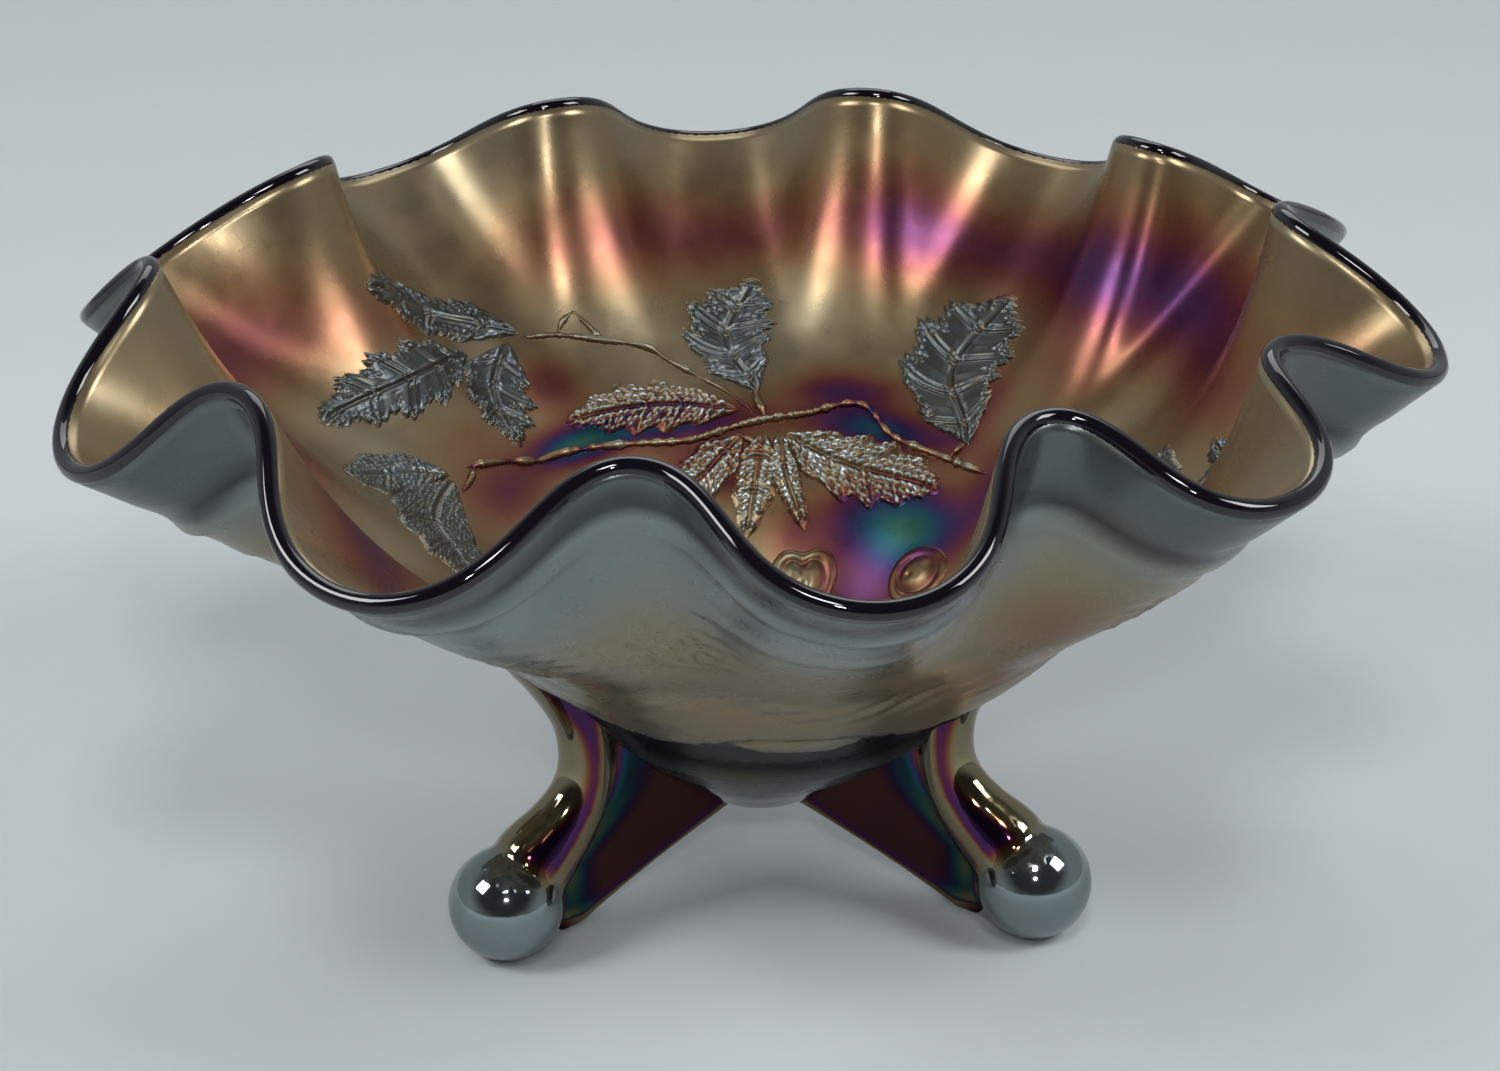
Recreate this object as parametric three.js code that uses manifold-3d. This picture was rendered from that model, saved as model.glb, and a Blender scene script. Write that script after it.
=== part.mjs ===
// Footed bowl of pressed iridescent glass with a hand-crimped, ten-ruffle rim.
//
// Frame: millimetres, +Z up, the table top at z = 0, the origin under the middle of the rim,
// the front towards -Y. A bearing is an angle about the bowl's axis in degrees, 0 at the front,
// growing towards -X, so 90 is the left side and 180 the back.
//
// The real bowl is pressed plain and round in a mould, and its rim is crimped while hot. The model
// is made the same way: every point of the wall and of its relief is first placed on the plain
// bowl by plain radius and bearing, and crimping then carries it to its final place.

import * as THREE from "three";
import { mergeVertices } from "three/addons/utils/BufferGeometryUtils.js";
import Module from "manifold-3d";

const wasm = await Module();
wasm.setup();

// ---- Driving dimensions ------------------------------------------------------------------

const RIM_RADIUS = 107; // plain radius of the rim bead's centre line
const BEAD_RADIUS = 1.7; // the rolled, fire-polished rim
const GAP = 0.3; // clearance between neighbouring pieces

// Middle of the wall's thickness on the plain bowl, as [radius, height], centre to rim.
const PROFILE = [
  [0, 23.6], [15, 25.6], [30, 36], [45, 51.3], [60, 64.6], [76, 77], [92, 92.6], [RIM_RADIUS, 112.4],
];
const RIM_SLOPE = 1.45; // the wall's rise per mm of radius at the rim
const WALL_AT_CENTRE = 5.4;
const WALL_AT_RIM = 3.2;

const RUFFLES = 10;
const FIRST_TROUGH = -6; // bearing of the first outward lobe
const RUFFLE_OUT = 10.8; // how far lobes stand out, and folds stand in
const RUFFLE_UP = 7.6; // how far folds rise, and lobes dip
const FOLD_POINT = 0.5; // sharpens the folds' tops and flattens the lobes
const SIDE_TURN = [1.4, 0.9]; // degrees that a ruffle's sides lean round, once and twice per ruffle
const CRIMP_REACH = 5; // power by which the crimp fades from the rim down
const TURN_REACH = 1.5; // the same for the turn round the axis

// What the crimping tool left at each lobe and at the fold after it, as departures from the
// regular ruffle: [outwards mm, upwards mm, round degrees].
const CRIMPS = [
  { lobe: [-1, 0, -3], fold: [0.5, -1, -1.5] },
  { lobe: [3, -1.5, -1.5], fold: [9, 2, -0.5] },
  { lobe: [2, -2.5, -0.5], fold: [5, 1.5, 0] },
  { lobe: [0, -0.5, -2], fold: [-2, 0.5, 1.5] },
  { lobe: [-1.5, 1, 1.5], fold: [0.5, 0, 1.5] },
  { lobe: [-4, 1, 2], fold: [1.5, -0.5, 1.5] },
  { lobe: [0.5, -2, 1.5], fold: [0, -2, 1] },
  { lobe: [1.5, -0.5, -5], fold: [-4.5, 1.5, 0] },
  { lobe: [-2.5, 1.5, 0.5], fold: [-1, -1.5, 1] },
  { lobe: [-0.5, 3.5, 0], fold: [-4.5, 0, -3.5] },
];

// The plain bowl's axis stands here, so that the crimped rim is centred on the origin. The soft
// wall sagged a little to one side halfway up.
const AXIS = [1.7, 1.2];
const BELLY_SHIFT = 3.6;

// Feet: a curved horn from the wall down to a ball, with a thin web behind it.
const FEET = { left: 57, right: -63, back: 177 };
const BALL_RADIUS = 10.3;
const BALL_CENTRE = [53.5, 10]; // [distance from the axis, height]
const LEG_SECTIONS = [
  // [distance, height, half depth, half width] down the horn
  [40.6, 49, 5.5, 5.4],
  [37.6, 42.5, 5, 4.9],
  [36.5, 36, 4.3, 4.6],
  [36.8, 31, 4.5, 4.6],
  [38.6, 26, 5.2, 4.8],
  [42.3, 21, 6.2, 5.4],
  [47, 16.6, 7.4, 6.6],
  [51, 13, 8, 7.4],
];
// The web's outline in the foot's plane, as [distance, height]: up behind the horn to the wall,
// in to the hub, and down the straight lower edge to the heel behind the ball.
const WEB_THICKNESS = 3.8;
const WEB_BACK = [[43.8, 1.2], [47, 14], [37, 30], [38, 45], [6, 40]];
const WEB_FRONT = { top: [9, 17.3], bow: [26, 9.4], bottom: [39.3, 1.6] };
// The hub, a rounded boss under the middle of the bowl where the webs meet, as [radius, height].
const HUB_PROFILE = [[0, 16.8], [8, 17.1], [11.5, 18.5], [15, 20.8], [20, 24.7]];
const HUB_TOP = 50; // above the wall there, whose own space is cut out of the hub
const HUB_STEPS = 48;

// Relief on the inside: the height that it stands above the wall.
const LEAF_HEIGHT = 1.3;
const LEAF_EDGE = 0.7;
const TWIG_RADIUS = 0.9;
const FRUIT_HEIGHT = 2.4;
const RELIEF_GAP = 0.5; // clearance under the relief
const SLANT = 1.38; // mm along the wall for each mm of plain radius
const LEAF_STATIONS = [0.08, 0.25, 0.45, 0.65, 0.85]; // shares of the leaf's length
const LEAF_FULLNESS = 0.8; // below 1, a leaf is widest before its middle and has blunter ends
const FRUIT_RINGS = [[1, 0], [0.98, 0.45], [0.62, 0.88]]; // shares of the fruit's radius and height

// One fruiting spray, as plain [radius, bearing] points, for the spray at the back. A leaf runs
// from its base through its middle to its tip.
const SPRAY_LEAVES = {
  crown: { base: [66, 175.5], middle: [74.5, 173], tip: [83.5, 175.5], width: 15 },
  beaded: { base: [62.5, 171], middle: [63.5, 157], tip: [64, 142], width: 11 },
  curl: { base: [54, 170.5], middle: [53, 164], tip: [52, 157], width: 6 },
  droop: { base: [54, 173.5], middle: [49, 171.5], tip: [42.5, 168.5], width: 6 },
  sprig: { base: [54, 179], middle: [49, 181], tip: [43, 187], width: 5 },
  broad: { base: [55, 184], middle: [51.5, 195], tip: [51, 215], width: 14 },
  upright: { base: [60, 217], middle: [70, 209], tip: [84.5, 211], width: 19 },
};
const SPRAY_TWIGS = {
  twig: [[64, 115], [60, 129], [59.5, 137], [58, 150], [57, 163], [59.5, 176.5], [60.5, 186],
    [62.5, 195], [58, 203], [56, 215], [55.5, 227]],
  shoot: [[68, 167.5], [71, 163], [74, 159.5], [76, 154], [78.5, 147.5], [79.5, 143]],
};
const SPRAY_FRUITS = {
  plum: { centre: [35.5, 189], radius: 7 },
  cherry: { centre: [39, 225], radius: 6 },
};
const SPRAY_TURNS = { back: 0, front: 180 };

// The leaf cluster between two sprays, for the cluster on the left.
const CLUSTER_LEAVES = {
  high: { base: [83.5, 139.5], middle: [88, 134], tip: [92.5, 122.5], width: 8 },
  middle: { base: [80, 133], middle: [79.5, 119], tip: [81, 105.5], width: 13 },
  low: { base: [76.5, 138], middle: [71.5, 133], tip: [64.5, 129], width: 13 },
  pointed: { base: [65, 110.5], middle: [69, 105], tip: [74, 97.5], width: 8 },
  hanging: { base: [61, 107], middle: [60, 93], tip: [55.5, 82], width: 16 },
};
const CLUSTER_TURNS = { left: 0, right: 166 };

// Mesh fineness
const STEPS_ROUND = 80;
const WALL_ROWS = [6, 14, 22, 30, 38, 47, 56, 65, 74, 83, 91, 99];
const BEAD_SIDES = 6;
const TWIG_SIDES = 6;
const FRUIT_STEPS = 14;
const HORN_SIDES = 14;
const SLOPE_STEP = 0.4; // mm or degrees to each side when a slope is measured

// ---- Finishes ----------------------------------------------------------------------------

const finish = (color, roughness, metalness) => ({ color, roughness, metalness });
const INSIDE_GOLD = finish(0x8a744c, 0.28, 0.85);
const DARK_GLASS = finish(0x17161f, 0.06, 0.55);
const FOOT_GOLD = finish(0x8d8058, 0.1, 0.9);
const WEB_PURPLE = finish(0x4b2f3f, 0.12, 0.9);
const BALL_SILVER = finish(0x8fa3ad, 0.06, 0.95);
const LEAF_STEEL = finish(0x5d6a70, 0.25, 0.9);
const TWIG_TEAL = finish(0x3f6863, 0.22, 0.9);
const FRUIT_VIOLET = finish(0x7c5a66, 0.2, 0.9);

const bowl = new THREE.Group();

function addPiece(name, geometry, { color, roughness, metalness }) {
  const piece = new THREE.Mesh(geometry, new THREE.MeshStandardMaterial({ color, roughness, metalness }));
  piece.name = name;
  bowl.add(piece);
}

// ---- Closed surfaces ---------------------------------------------------------------------

const rad = THREE.MathUtils.degToRad;

function signedVolume(points, index) {
  let volume = 0;
  for (let i = 0; i < index.length; i += 3) {
    const [a, b, c] = [points[index[i]], points[index[i + 1]], points[index[i + 2]]];
    volume += a.dot(b.clone().cross(c)) / 6;
  }
  return volume;
}

function closedGeometry(points, index) {
  if (signedVolume(points, index) < 0) {
    index.reverse();
  }
  const geometry = new THREE.BufferGeometry().setFromPoints(points);
  geometry.setIndex(index);
  return geometry;
}

// Skin over a stack of closed rings that starts and ends at a single point.
function skin(start, rings, end) {
  const count = rings[0].length;
  const points = [start, ...rings.flat(), end];
  const last = points.length - 1;
  const at = (ring, step) => 1 + ring * count + (step % count);
  const index = [];
  for (let step = 0; step < count; step += 1) {
    index.push(0, at(0, step + 1), at(0, step));
    index.push(last, at(rings.length - 1, step), at(rings.length - 1, step + 1));
    for (let ring = 1; ring < rings.length; ring += 1) {
      index.push(at(ring - 1, step), at(ring - 1, step + 1), at(ring, step));
      index.push(at(ring - 1, step + 1), at(ring, step + 1), at(ring, step));
    }
  }
  return closedGeometry(points, index);
}

// Skin over rings that follow each other round and meet again.
function skinLoop(rings) {
  const count = rings[0].length;
  const at = (ring, step) => (ring % rings.length) * count + (step % count);
  const index = [];
  for (let ring = 0; ring < rings.length; ring += 1) {
    for (let step = 0; step < count; step += 1) {
      index.push(at(ring, step), at(ring, step + 1), at(ring + 1, step));
      index.push(at(ring, step + 1), at(ring + 1, step + 1), at(ring + 1, step));
    }
  }
  return closedGeometry(rings.flat(), index);
}

function toSolid(geometry) {
  const bare = geometry.clone();
  bare.deleteAttribute("normal");
  bare.deleteAttribute("uv");
  const merged = mergeVertices(bare, 1e-4);
  const vertProperties = new Float32Array(merged.attributes.position.array);
  const triVerts = new Uint32Array(merged.index.array);
  return new wasm.Manifold(new wasm.Mesh({ numProp: 3, vertProperties, triVerts }));
}

function toGeometry(solid) {
  const { vertProperties, triVerts } = solid.getMesh();
  const geometry = new THREE.BufferGeometry();
  geometry.setAttribute("position", new THREE.BufferAttribute(vertProperties, 3));
  geometry.setIndex(new THREE.BufferAttribute(triVerts, 1));
  return geometry;
}

// ---- The wall ----------------------------------------------------------------------------

// Height of the plain wall's middle: a smooth curve through PROFILE.
function plainHeight(radius) {
  const last = PROFILE.length - 1;
  const slopeAt = (i) => {
    if (i === 0) {
      return 0;
    }
    if (i === last) {
      return RIM_SLOPE;
    }
    return (PROFILE[i + 1][1] - PROFILE[i - 1][1]) / (PROFILE[i + 1][0] - PROFILE[i - 1][0]);
  };
  let i = 0;
  while (i < last - 1 && radius >= PROFILE[i + 1][0]) {
    i += 1;
  }
  const width = PROFILE[i + 1][0] - PROFILE[i][0];
  const t = (radius - PROFILE[i][0]) / width;
  return (2 * t ** 3 - 3 * t ** 2 + 1) * PROFILE[i][1] + (t ** 3 - 2 * t ** 2 + t) * width * slopeAt(i)
    + (3 * t ** 2 - 2 * t ** 3) * PROFILE[i + 1][1] + (t ** 3 - t ** 2) * width * slopeAt(i + 1);
}

// What crimping does to the rim at a bearing: millimetres out and up, degrees round.
function crimpAt(bearing) {
  const phase = THREE.MathUtils.euclideanModulo((bearing - FIRST_TROUGH) / (360 / RUFFLES), RUFFLES);
  const stops = CRIMPS.flatMap(({ lobe, fold }) => [lobe, fold]);
  const stop = Math.floor(2 * phase);
  const ease = THREE.MathUtils.smoothstep(2 * phase - stop, 0, 1);
  const from = stops[stop % stops.length];
  const to = stops[(stop + 1) % stops.length];
  const hand = from.map((value, axis) => THREE.MathUtils.lerp(value, to[axis], ease));
  const turn = 2 * Math.PI * phase;
  return {
    out: RUFFLE_OUT * Math.cos(turn) + hand[0],
    up: -RUFFLE_UP * Math.cos(turn) - FOLD_POINT * Math.cos(2 * turn) + hand[1],
    round: SIDE_TURN[0] * Math.sin(turn) + SIDE_TURN[1] * Math.sin(2 * turn) + hand[2],
  };
}

function wallMiddle(radius, bearing) {
  const reach = radius / RIM_RADIUS;
  const { out, up, round } = crimpAt(bearing);
  const distance = radius + out * reach ** CRIMP_REACH;
  const angle = rad(bearing + round * reach ** TURN_REACH);
  const lean = BELLY_SHIFT * Math.sin(Math.PI * Math.min(reach, 1)) ** 2;
  return new THREE.Vector3(
    AXIS[0] + lean - distance * Math.sin(angle),
    AXIS[1] - distance * Math.cos(angle),
    plainHeight(radius) + up * reach ** CRIMP_REACH,
  );
}

// Square to the wall, towards the inside of the bowl.
function wallNormal(radius, bearing) {
  const outwards = wallMiddle(radius + SLOPE_STEP, bearing).sub(wallMiddle(radius - SLOPE_STEP, bearing));
  const round = wallMiddle(radius, bearing + SLOPE_STEP).sub(wallMiddle(radius, bearing - SLOPE_STEP));
  const normal = outwards.cross(round).normalize();
  return normal.z < 0 ? normal.negate() : normal;
}

function halfWall(radius) {
  return THREE.MathUtils.lerp(WALL_AT_CENTRE, WALL_AT_RIM, radius / RIM_RADIUS) / 2;
}

// A point that stands `height` off the inner face of the wall.
function onInside(radius, bearing, height) {
  const away = halfWall(radius) + height;
  return wallMiddle(radius, bearing).addScaledVector(wallNormal(radius, bearing), away);
}

function onOutside(radius, bearing, height) {
  const away = -halfWall(radius) - height;
  return wallMiddle(radius, bearing).addScaledVector(wallNormal(radius, bearing), away);
}

// The wall's point on the bowl's axis, `away` above the middle of its thickness.
function wallPole(away) {
  return new THREE.Vector3(...AXIS, plainHeight(0) + away);
}

function ringOf(pointAt) {
  return Array.from({ length: STEPS_ROUND }, (_, step) => pointAt((360 * step) / STEPS_ROUND));
}

// The way the rim runs at a bearing.
function alongRim(bearing) {
  const before = wallMiddle(RIM_RADIUS, bearing - SLOPE_STEP);
  return wallMiddle(RIM_RADIUS, bearing + SLOPE_STEP).sub(before).normalize();
}

// The wall stops just short of the bead, square to its own slope.
function wallLip(bearing, side) {
  const rim = wallMiddle(RIM_RADIUS, bearing);
  const down = wallMiddle(WALL_ROWS.at(-1), bearing).sub(rim).normalize();
  const across = down.clone().cross(alongRim(bearing)).normalize();
  if (across.z < 0) {
    across.negate();
  }
  return rim.addScaledVector(down, BEAD_RADIUS + GAP).addScaledVector(across, (side * WALL_AT_RIM) / 2);
}

function makeShell() {
  const outer = WALL_ROWS.map((radius) => ringOf((bearing) => onOutside(radius, bearing, 0)));
  const inner = WALL_ROWS.map((radius) => ringOf((bearing) => onInside(radius, bearing, 0)));
  const outerLip = ringOf((bearing) => wallLip(bearing, -1));
  const innerLip = ringOf((bearing) => wallLip(bearing, 1));
  const rings = [...outer, outerLip, innerLip, ...inner.reverse()];
  addPiece("bowl_shell", skin(wallPole(-halfWall(0)), rings, wallPole(halfWall(0))), INSIDE_GOLD);
}

function makeBead() {
  const sections = ringOf((bearing) => {
    const centre = wallMiddle(RIM_RADIUS, bearing);
    const along = alongRim(bearing);
    const across = centre.clone().sub(wallMiddle(RIM_RADIUS - BEAD_RADIUS, bearing));
    across.addScaledVector(along, -across.dot(along)).normalize();
    const over = along.clone().cross(across);
    return Array.from({ length: BEAD_SIDES }, (_, side) => {
      const turn = (2 * Math.PI * (side + 0.5)) / BEAD_SIDES;
      return centre.clone()
        .addScaledVector(across, BEAD_RADIUS * Math.cos(turn))
        .addScaledVector(over, BEAD_RADIUS * Math.sin(turn));
    });
  });
  addPiece("rim_bead", skinLoop(sections), DARK_GLASS);
}

// ---- Feet --------------------------------------------------------------------------------

// All that lies above the wall's outer face, kept clear of the feet by the gap.
function wallCutter() {
  const rows = WALL_ROWS.filter((radius) => radius < 80);
  const outer = rows.map((radius) => ringOf((bearing) => onOutside(radius, bearing, GAP)));
  return toSolid(skin(wallPole(-halfWall(0) - GAP), outer, new THREE.Vector3(...AXIS, RIM_RADIUS)));
}

// Places a shape made in a foot's own plane, x outwards and y across, at the foot's bearing.
function placeFoot(geometry, bearing) {
  return geometry.rotateZ(-Math.PI / 2 - rad(bearing)).translate(...AXIS, 0);
}

function legGeometry(grow) {
  const path = new THREE.CatmullRomCurve3(LEG_SECTIONS.map(([out, up]) => new THREE.Vector3(out, 0, up)));
  const rings = LEG_SECTIONS.map(([out, up, depth, width], i) => {
    const along = path.getTangent(i / (LEG_SECTIONS.length - 1));
    const outwards = new THREE.Vector3(-along.z, 0, along.x);
    return Array.from({ length: HORN_SIDES }, (_, side) => {
      const turn = (2 * Math.PI * side) / HORN_SIDES;
      return new THREE.Vector3(out, (width + grow) * Math.sin(turn), up)
        .addScaledVector(outwards, (depth + grow) * Math.cos(turn));
    });
  });
  const [top, bottom] = [LEG_SECTIONS[0], LEG_SECTIONS.at(-1)];
  return skin(new THREE.Vector3(top[0], 0, top[1]), rings, new THREE.Vector3(bottom[0], 0, bottom[1]));
}

function ballGeometry(radius) {
  const [out, up] = BALL_CENTRE;
  return new THREE.SphereGeometry(radius, 20, 14).rotateX(Math.PI / 2).translate(out, 0, up);
}

function webGeometry() {
  const outline = new THREE.Shape();
  outline.moveTo(...WEB_FRONT.top);
  outline.quadraticCurveTo(...WEB_FRONT.bow, ...WEB_FRONT.bottom);
  for (const corner of WEB_BACK) {
    outline.lineTo(...corner);
  }
  const settings = { depth: WEB_THICKNESS, bevelEnabled: false, curveSegments: 6 };
  const plate = new THREE.ExtrudeGeometry(outline, settings);
  return plate.rotateX(Math.PI / 2).translate(0, WEB_THICKNESS / 2, 0);
}

function hubGeometry(grow) {
  const side = HUB_PROFILE.map(([radius, height]) => new THREE.Vector2(radius, height - grow));
  const edge = HUB_PROFILE.at(-1)[0];
  const half = [...side, new THREE.Vector2(edge, HUB_TOP), new THREE.Vector2(0, HUB_TOP)];
  return new THREE.LatheGeometry(half, HUB_STEPS).rotateX(Math.PI / 2).translate(...AXIS, 0);
}

function makeFeet() {
  const above = wallCutter();
  const below = toSolid(new THREE.BoxGeometry(300, 300, 20).translate(0, 0, -10));
  const hub = toSolid(hubGeometry(0)).subtract(above);
  const hubRoom = toSolid(hubGeometry(GAP));
  addPiece("foot_hub", toGeometry(hub), WEB_PURPLE);
  for (const [side, bearing] of Object.entries(FEET)) {
    const ball = toSolid(placeFoot(ballGeometry(BALL_RADIUS), bearing)).subtract(below);
    const ballRoom = toSolid(placeFoot(ballGeometry(BALL_RADIUS + GAP), bearing));
    const leg = toSolid(placeFoot(legGeometry(0), bearing)).subtract(above).subtract(ballRoom);
    const legRoom = toSolid(placeFoot(legGeometry(GAP), bearing));
    const web = toSolid(placeFoot(webGeometry(), bearing)).subtract(hubRoom).subtract(legRoom);
    addPiece(`leg_${side}`, toGeometry(leg), FOOT_GOLD);
    addPiece(`web_${side}`, toGeometry(web.subtract(above).subtract(ballRoom)), WEB_PURPLE);
    addPiece(`ball_foot_${side}`, toGeometry(ball), BALL_SILVER);
  }
}

// ---- Relief ------------------------------------------------------------------------------

// A flat patch in millimetres laid on the inner face, x round the bowl and y up the wall.
function patchOnInside([radius, bearing]) {
  const perDegree = rad(radius);
  return {
    toPatch: ([r, b]) => new THREE.Vector2((b - bearing) * perDegree, (r - radius) * SLANT),
    toWall: (x, y, height) => onInside(radius + y / SLANT, bearing + x / perDegree, RELIEF_GAP + height),
  };
}

function makeLeaf(name, { base, middle, tip, width }, turn) {
  const { toPatch, toWall } = patchOnInside([middle[0], middle[1] + turn]);
  const spine = new THREE.SplineCurve([base, middle, tip].map(([r, b]) => toPatch([r, b + turn])));
  const place = (along, side, height) => {
    const spot = spine.getPoint(along);
    const tangent = spine.getTangent(along);
    return toWall(spot.x - tangent.y * side, spot.y + tangent.x * side, height);
  };
  const rings = LEAF_STATIONS.map((along) => {
    const half = (width / 2) * Math.sin(Math.PI * along ** LEAF_FULLNESS) ** LEAF_FULLNESS;
    return [
      place(along, -half, 0), place(along, 0, 0), place(along, half, 0),
      place(along, half, LEAF_EDGE), place(along, 0, LEAF_HEIGHT), place(along, -half, LEAF_EDGE),
    ];
  });
  addPiece(name, skin(place(0, 0, LEAF_EDGE / 2), rings, place(1, 0, LEAF_EDGE / 2)), LEAF_STEEL);
}

function makeTwig(name, route, turn) {
  const curve = new THREE.CatmullRomCurve3(
    route.map(([radius, bearing]) => onInside(radius, bearing + turn, RELIEF_GAP + TWIG_RADIUS)),
  );
  const section = new THREE.Shape(Array.from({ length: TWIG_SIDES }, (_, side) => {
    const angle = (2 * Math.PI * side) / TWIG_SIDES;
    return new THREE.Vector2(TWIG_RADIUS * Math.cos(angle), TWIG_RADIUS * Math.sin(angle));
  }));
  const steps = 3 * (route.length - 1);
  addPiece(name, new THREE.ExtrudeGeometry(section, { steps, extrudePath: curve }), TWIG_TEAL);
}

function makeFruit(name, { centre, radius }, turn) {
  const { toWall } = patchOnInside([centre[0], centre[1] + turn]);
  const rings = FRUIT_RINGS.map(([share, height]) => (
    Array.from({ length: FRUIT_STEPS }, (_, step) => {
      const angle = (2 * Math.PI * step) / FRUIT_STEPS;
      const reach = radius * share;
      return toWall(reach * Math.cos(angle), reach * Math.sin(angle), FRUIT_HEIGHT * height);
    })
  ));
  addPiece(name, skin(toWall(0, 0, 0), rings, toWall(0, 0, FRUIT_HEIGHT)), FRUIT_VIOLET);
}

function makeRelief() {
  for (const [place, turn] of Object.entries(SPRAY_TURNS)) {
    for (const [kind, leaf] of Object.entries(SPRAY_LEAVES)) {
      makeLeaf(`leaf_${kind}_${place}`, leaf, turn);
    }
    for (const [kind, route] of Object.entries(SPRAY_TWIGS)) {
      makeTwig(`${kind}_${place}`, route, turn);
    }
    for (const [kind, fruit] of Object.entries(SPRAY_FRUITS)) {
      makeFruit(`${kind}_${place}`, fruit, turn);
    }
  }
  for (const [place, turn] of Object.entries(CLUSTER_TURNS)) {
    for (const [kind, leaf] of Object.entries(CLUSTER_LEAVES)) {
      makeLeaf(`leaf_${kind}_${place}`, leaf, turn);
    }
  }
}

makeShell();
makeBead();
makeFeet();
makeRelief();

export default bowl;
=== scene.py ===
"""Footed bowl of pressed iridescent glass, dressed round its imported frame.

Objects are in metres, +Z up, the front towards -Y. The sizes below are in millimetres, as a glass
maker would state them, and MM carries them over. A bearing is an angle about the bowl's axis in
degrees, 0 at the front, growing towards -X, so 90 is the left side and 180 the back. FEET gives
each foot's side and bearing, and HALF_GAP the degrees from a foot to the middle of a gap.
"""

import logging
import math
from dataclasses import dataclass, field
from enum import Enum
from typing import Callable

import bpy
import numpy as np
from mathutils import Euler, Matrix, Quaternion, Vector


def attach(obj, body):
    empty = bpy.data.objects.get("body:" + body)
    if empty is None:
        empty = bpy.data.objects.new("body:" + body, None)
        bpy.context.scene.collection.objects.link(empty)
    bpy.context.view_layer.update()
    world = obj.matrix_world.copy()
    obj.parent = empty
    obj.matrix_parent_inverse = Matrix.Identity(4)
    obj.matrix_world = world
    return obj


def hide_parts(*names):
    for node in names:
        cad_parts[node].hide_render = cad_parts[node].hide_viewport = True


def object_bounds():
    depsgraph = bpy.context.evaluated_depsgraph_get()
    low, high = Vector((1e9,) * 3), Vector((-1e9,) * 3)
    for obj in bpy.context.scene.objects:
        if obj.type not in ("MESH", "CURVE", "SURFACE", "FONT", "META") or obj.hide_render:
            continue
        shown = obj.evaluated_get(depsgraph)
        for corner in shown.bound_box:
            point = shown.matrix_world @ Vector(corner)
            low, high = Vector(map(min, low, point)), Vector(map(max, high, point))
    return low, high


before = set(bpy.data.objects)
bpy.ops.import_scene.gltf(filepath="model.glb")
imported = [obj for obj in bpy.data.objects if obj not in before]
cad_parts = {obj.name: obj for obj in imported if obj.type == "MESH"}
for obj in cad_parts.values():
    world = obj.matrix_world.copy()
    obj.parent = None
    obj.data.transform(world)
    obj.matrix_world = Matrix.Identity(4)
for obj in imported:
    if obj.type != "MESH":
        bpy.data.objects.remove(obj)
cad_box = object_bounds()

MM = 0.001
BODY = "root"
FEET = (("left", 57), ("right", -63), ("back", 177))
HALF_GAP = 60
SEAM_REACH = 1e-7
GLASS_IOR = 1.52
Array = np.ndarray
Heights = Callable[[Array, Array], Array]
log = logging.getLogger("glass bowl")


# ---- Working at the bench ------------------------------------------------------------------


def hold(piece: bpy.types.Object) -> None:
    """Leaves only this piece selected, and active."""
    bpy.ops.object.select_all(action="DESELECT")
    piece.select_set(True)
    bpy.context.view_layer.objects.active = piece


def name_new_piece(name: str) -> bpy.types.Object:
    """Names the primitive that was just added, and its mesh.

    Args:
        name: the piece's name.

    Returns:
        The active object.
    """
    piece = bpy.context.view_layer.objects.active
    piece.name = name
    piece.data.name = name
    return piece


def points_of(piece: bpy.types.Object) -> Array:
    """Returns the piece's vertices, one row each."""
    flat = np.empty(len(piece.data.vertices) * 3)
    piece.data.vertices.foreach_get("co", flat)
    return flat.reshape(-1, 3)


def set_points(piece: bpy.types.Object, points: Array) -> None:
    """Moves the piece's vertices to these points."""
    piece.data.vertices.foreach_set("co", points.ravel())
    piece.data.update()


def edit_only(piece: bpy.types.Object, chosen: Array | None = None) -> None:
    """Opens the piece in edit mode with the chosen vertices selected.

    Args:
        piece: the piece to open.
        chosen: one True or False for each vertex; everything is selected without it.
    """
    hold(piece)
    bpy.ops.object.mode_set(mode="EDIT")
    bpy.ops.mesh.select_mode(type="VERT")
    bpy.ops.mesh.select_all(action="SELECT" if chosen is None else "DESELECT")
    if chosen is not None:
        bpy.ops.object.mode_set(mode="OBJECT")
        piece.data.vertices.foreach_set("select", chosen)
        bpy.ops.object.mode_set(mode="EDIT")


def close_edit() -> None:
    """Goes back to object mode."""
    bpy.ops.object.mode_set(mode="OBJECT")


def weld(piece: bpy.types.Object, reach: float = SEAM_REACH) -> None:
    """Merges vertices that meet, and turns the faces outwards.

    Args:
        piece: a closed shape.
        reach: vertices nearer than this become one.
    """
    edit_only(piece)
    bpy.ops.mesh.remove_doubles(threshold=reach)
    bpy.ops.mesh.select_all(action="SELECT")
    bpy.ops.mesh.normals_make_consistent(inside=False)
    close_edit()


def store(piece: bpy.types.Object, name: str, values: Array) -> None:
    """Keeps a value for each vertex as an attribute that a finish can read."""
    attribute = piece.data.attributes.new(name, "FLOAT", "POINT")
    attribute.data.foreach_set("value", values.astype(np.float32))


def lay_film(piece: bpy.types.Object, film: Array | float, shade: Array | float) -> None:
    """Stores the lustre's thickness and its darkening, partly dark glass and partly painted shade."""
    count = len(piece.data.vertices)
    store(piece, "film", np.zeros(count) + film)
    store(piece, "shade", np.zeros(count) + shade)


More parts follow.
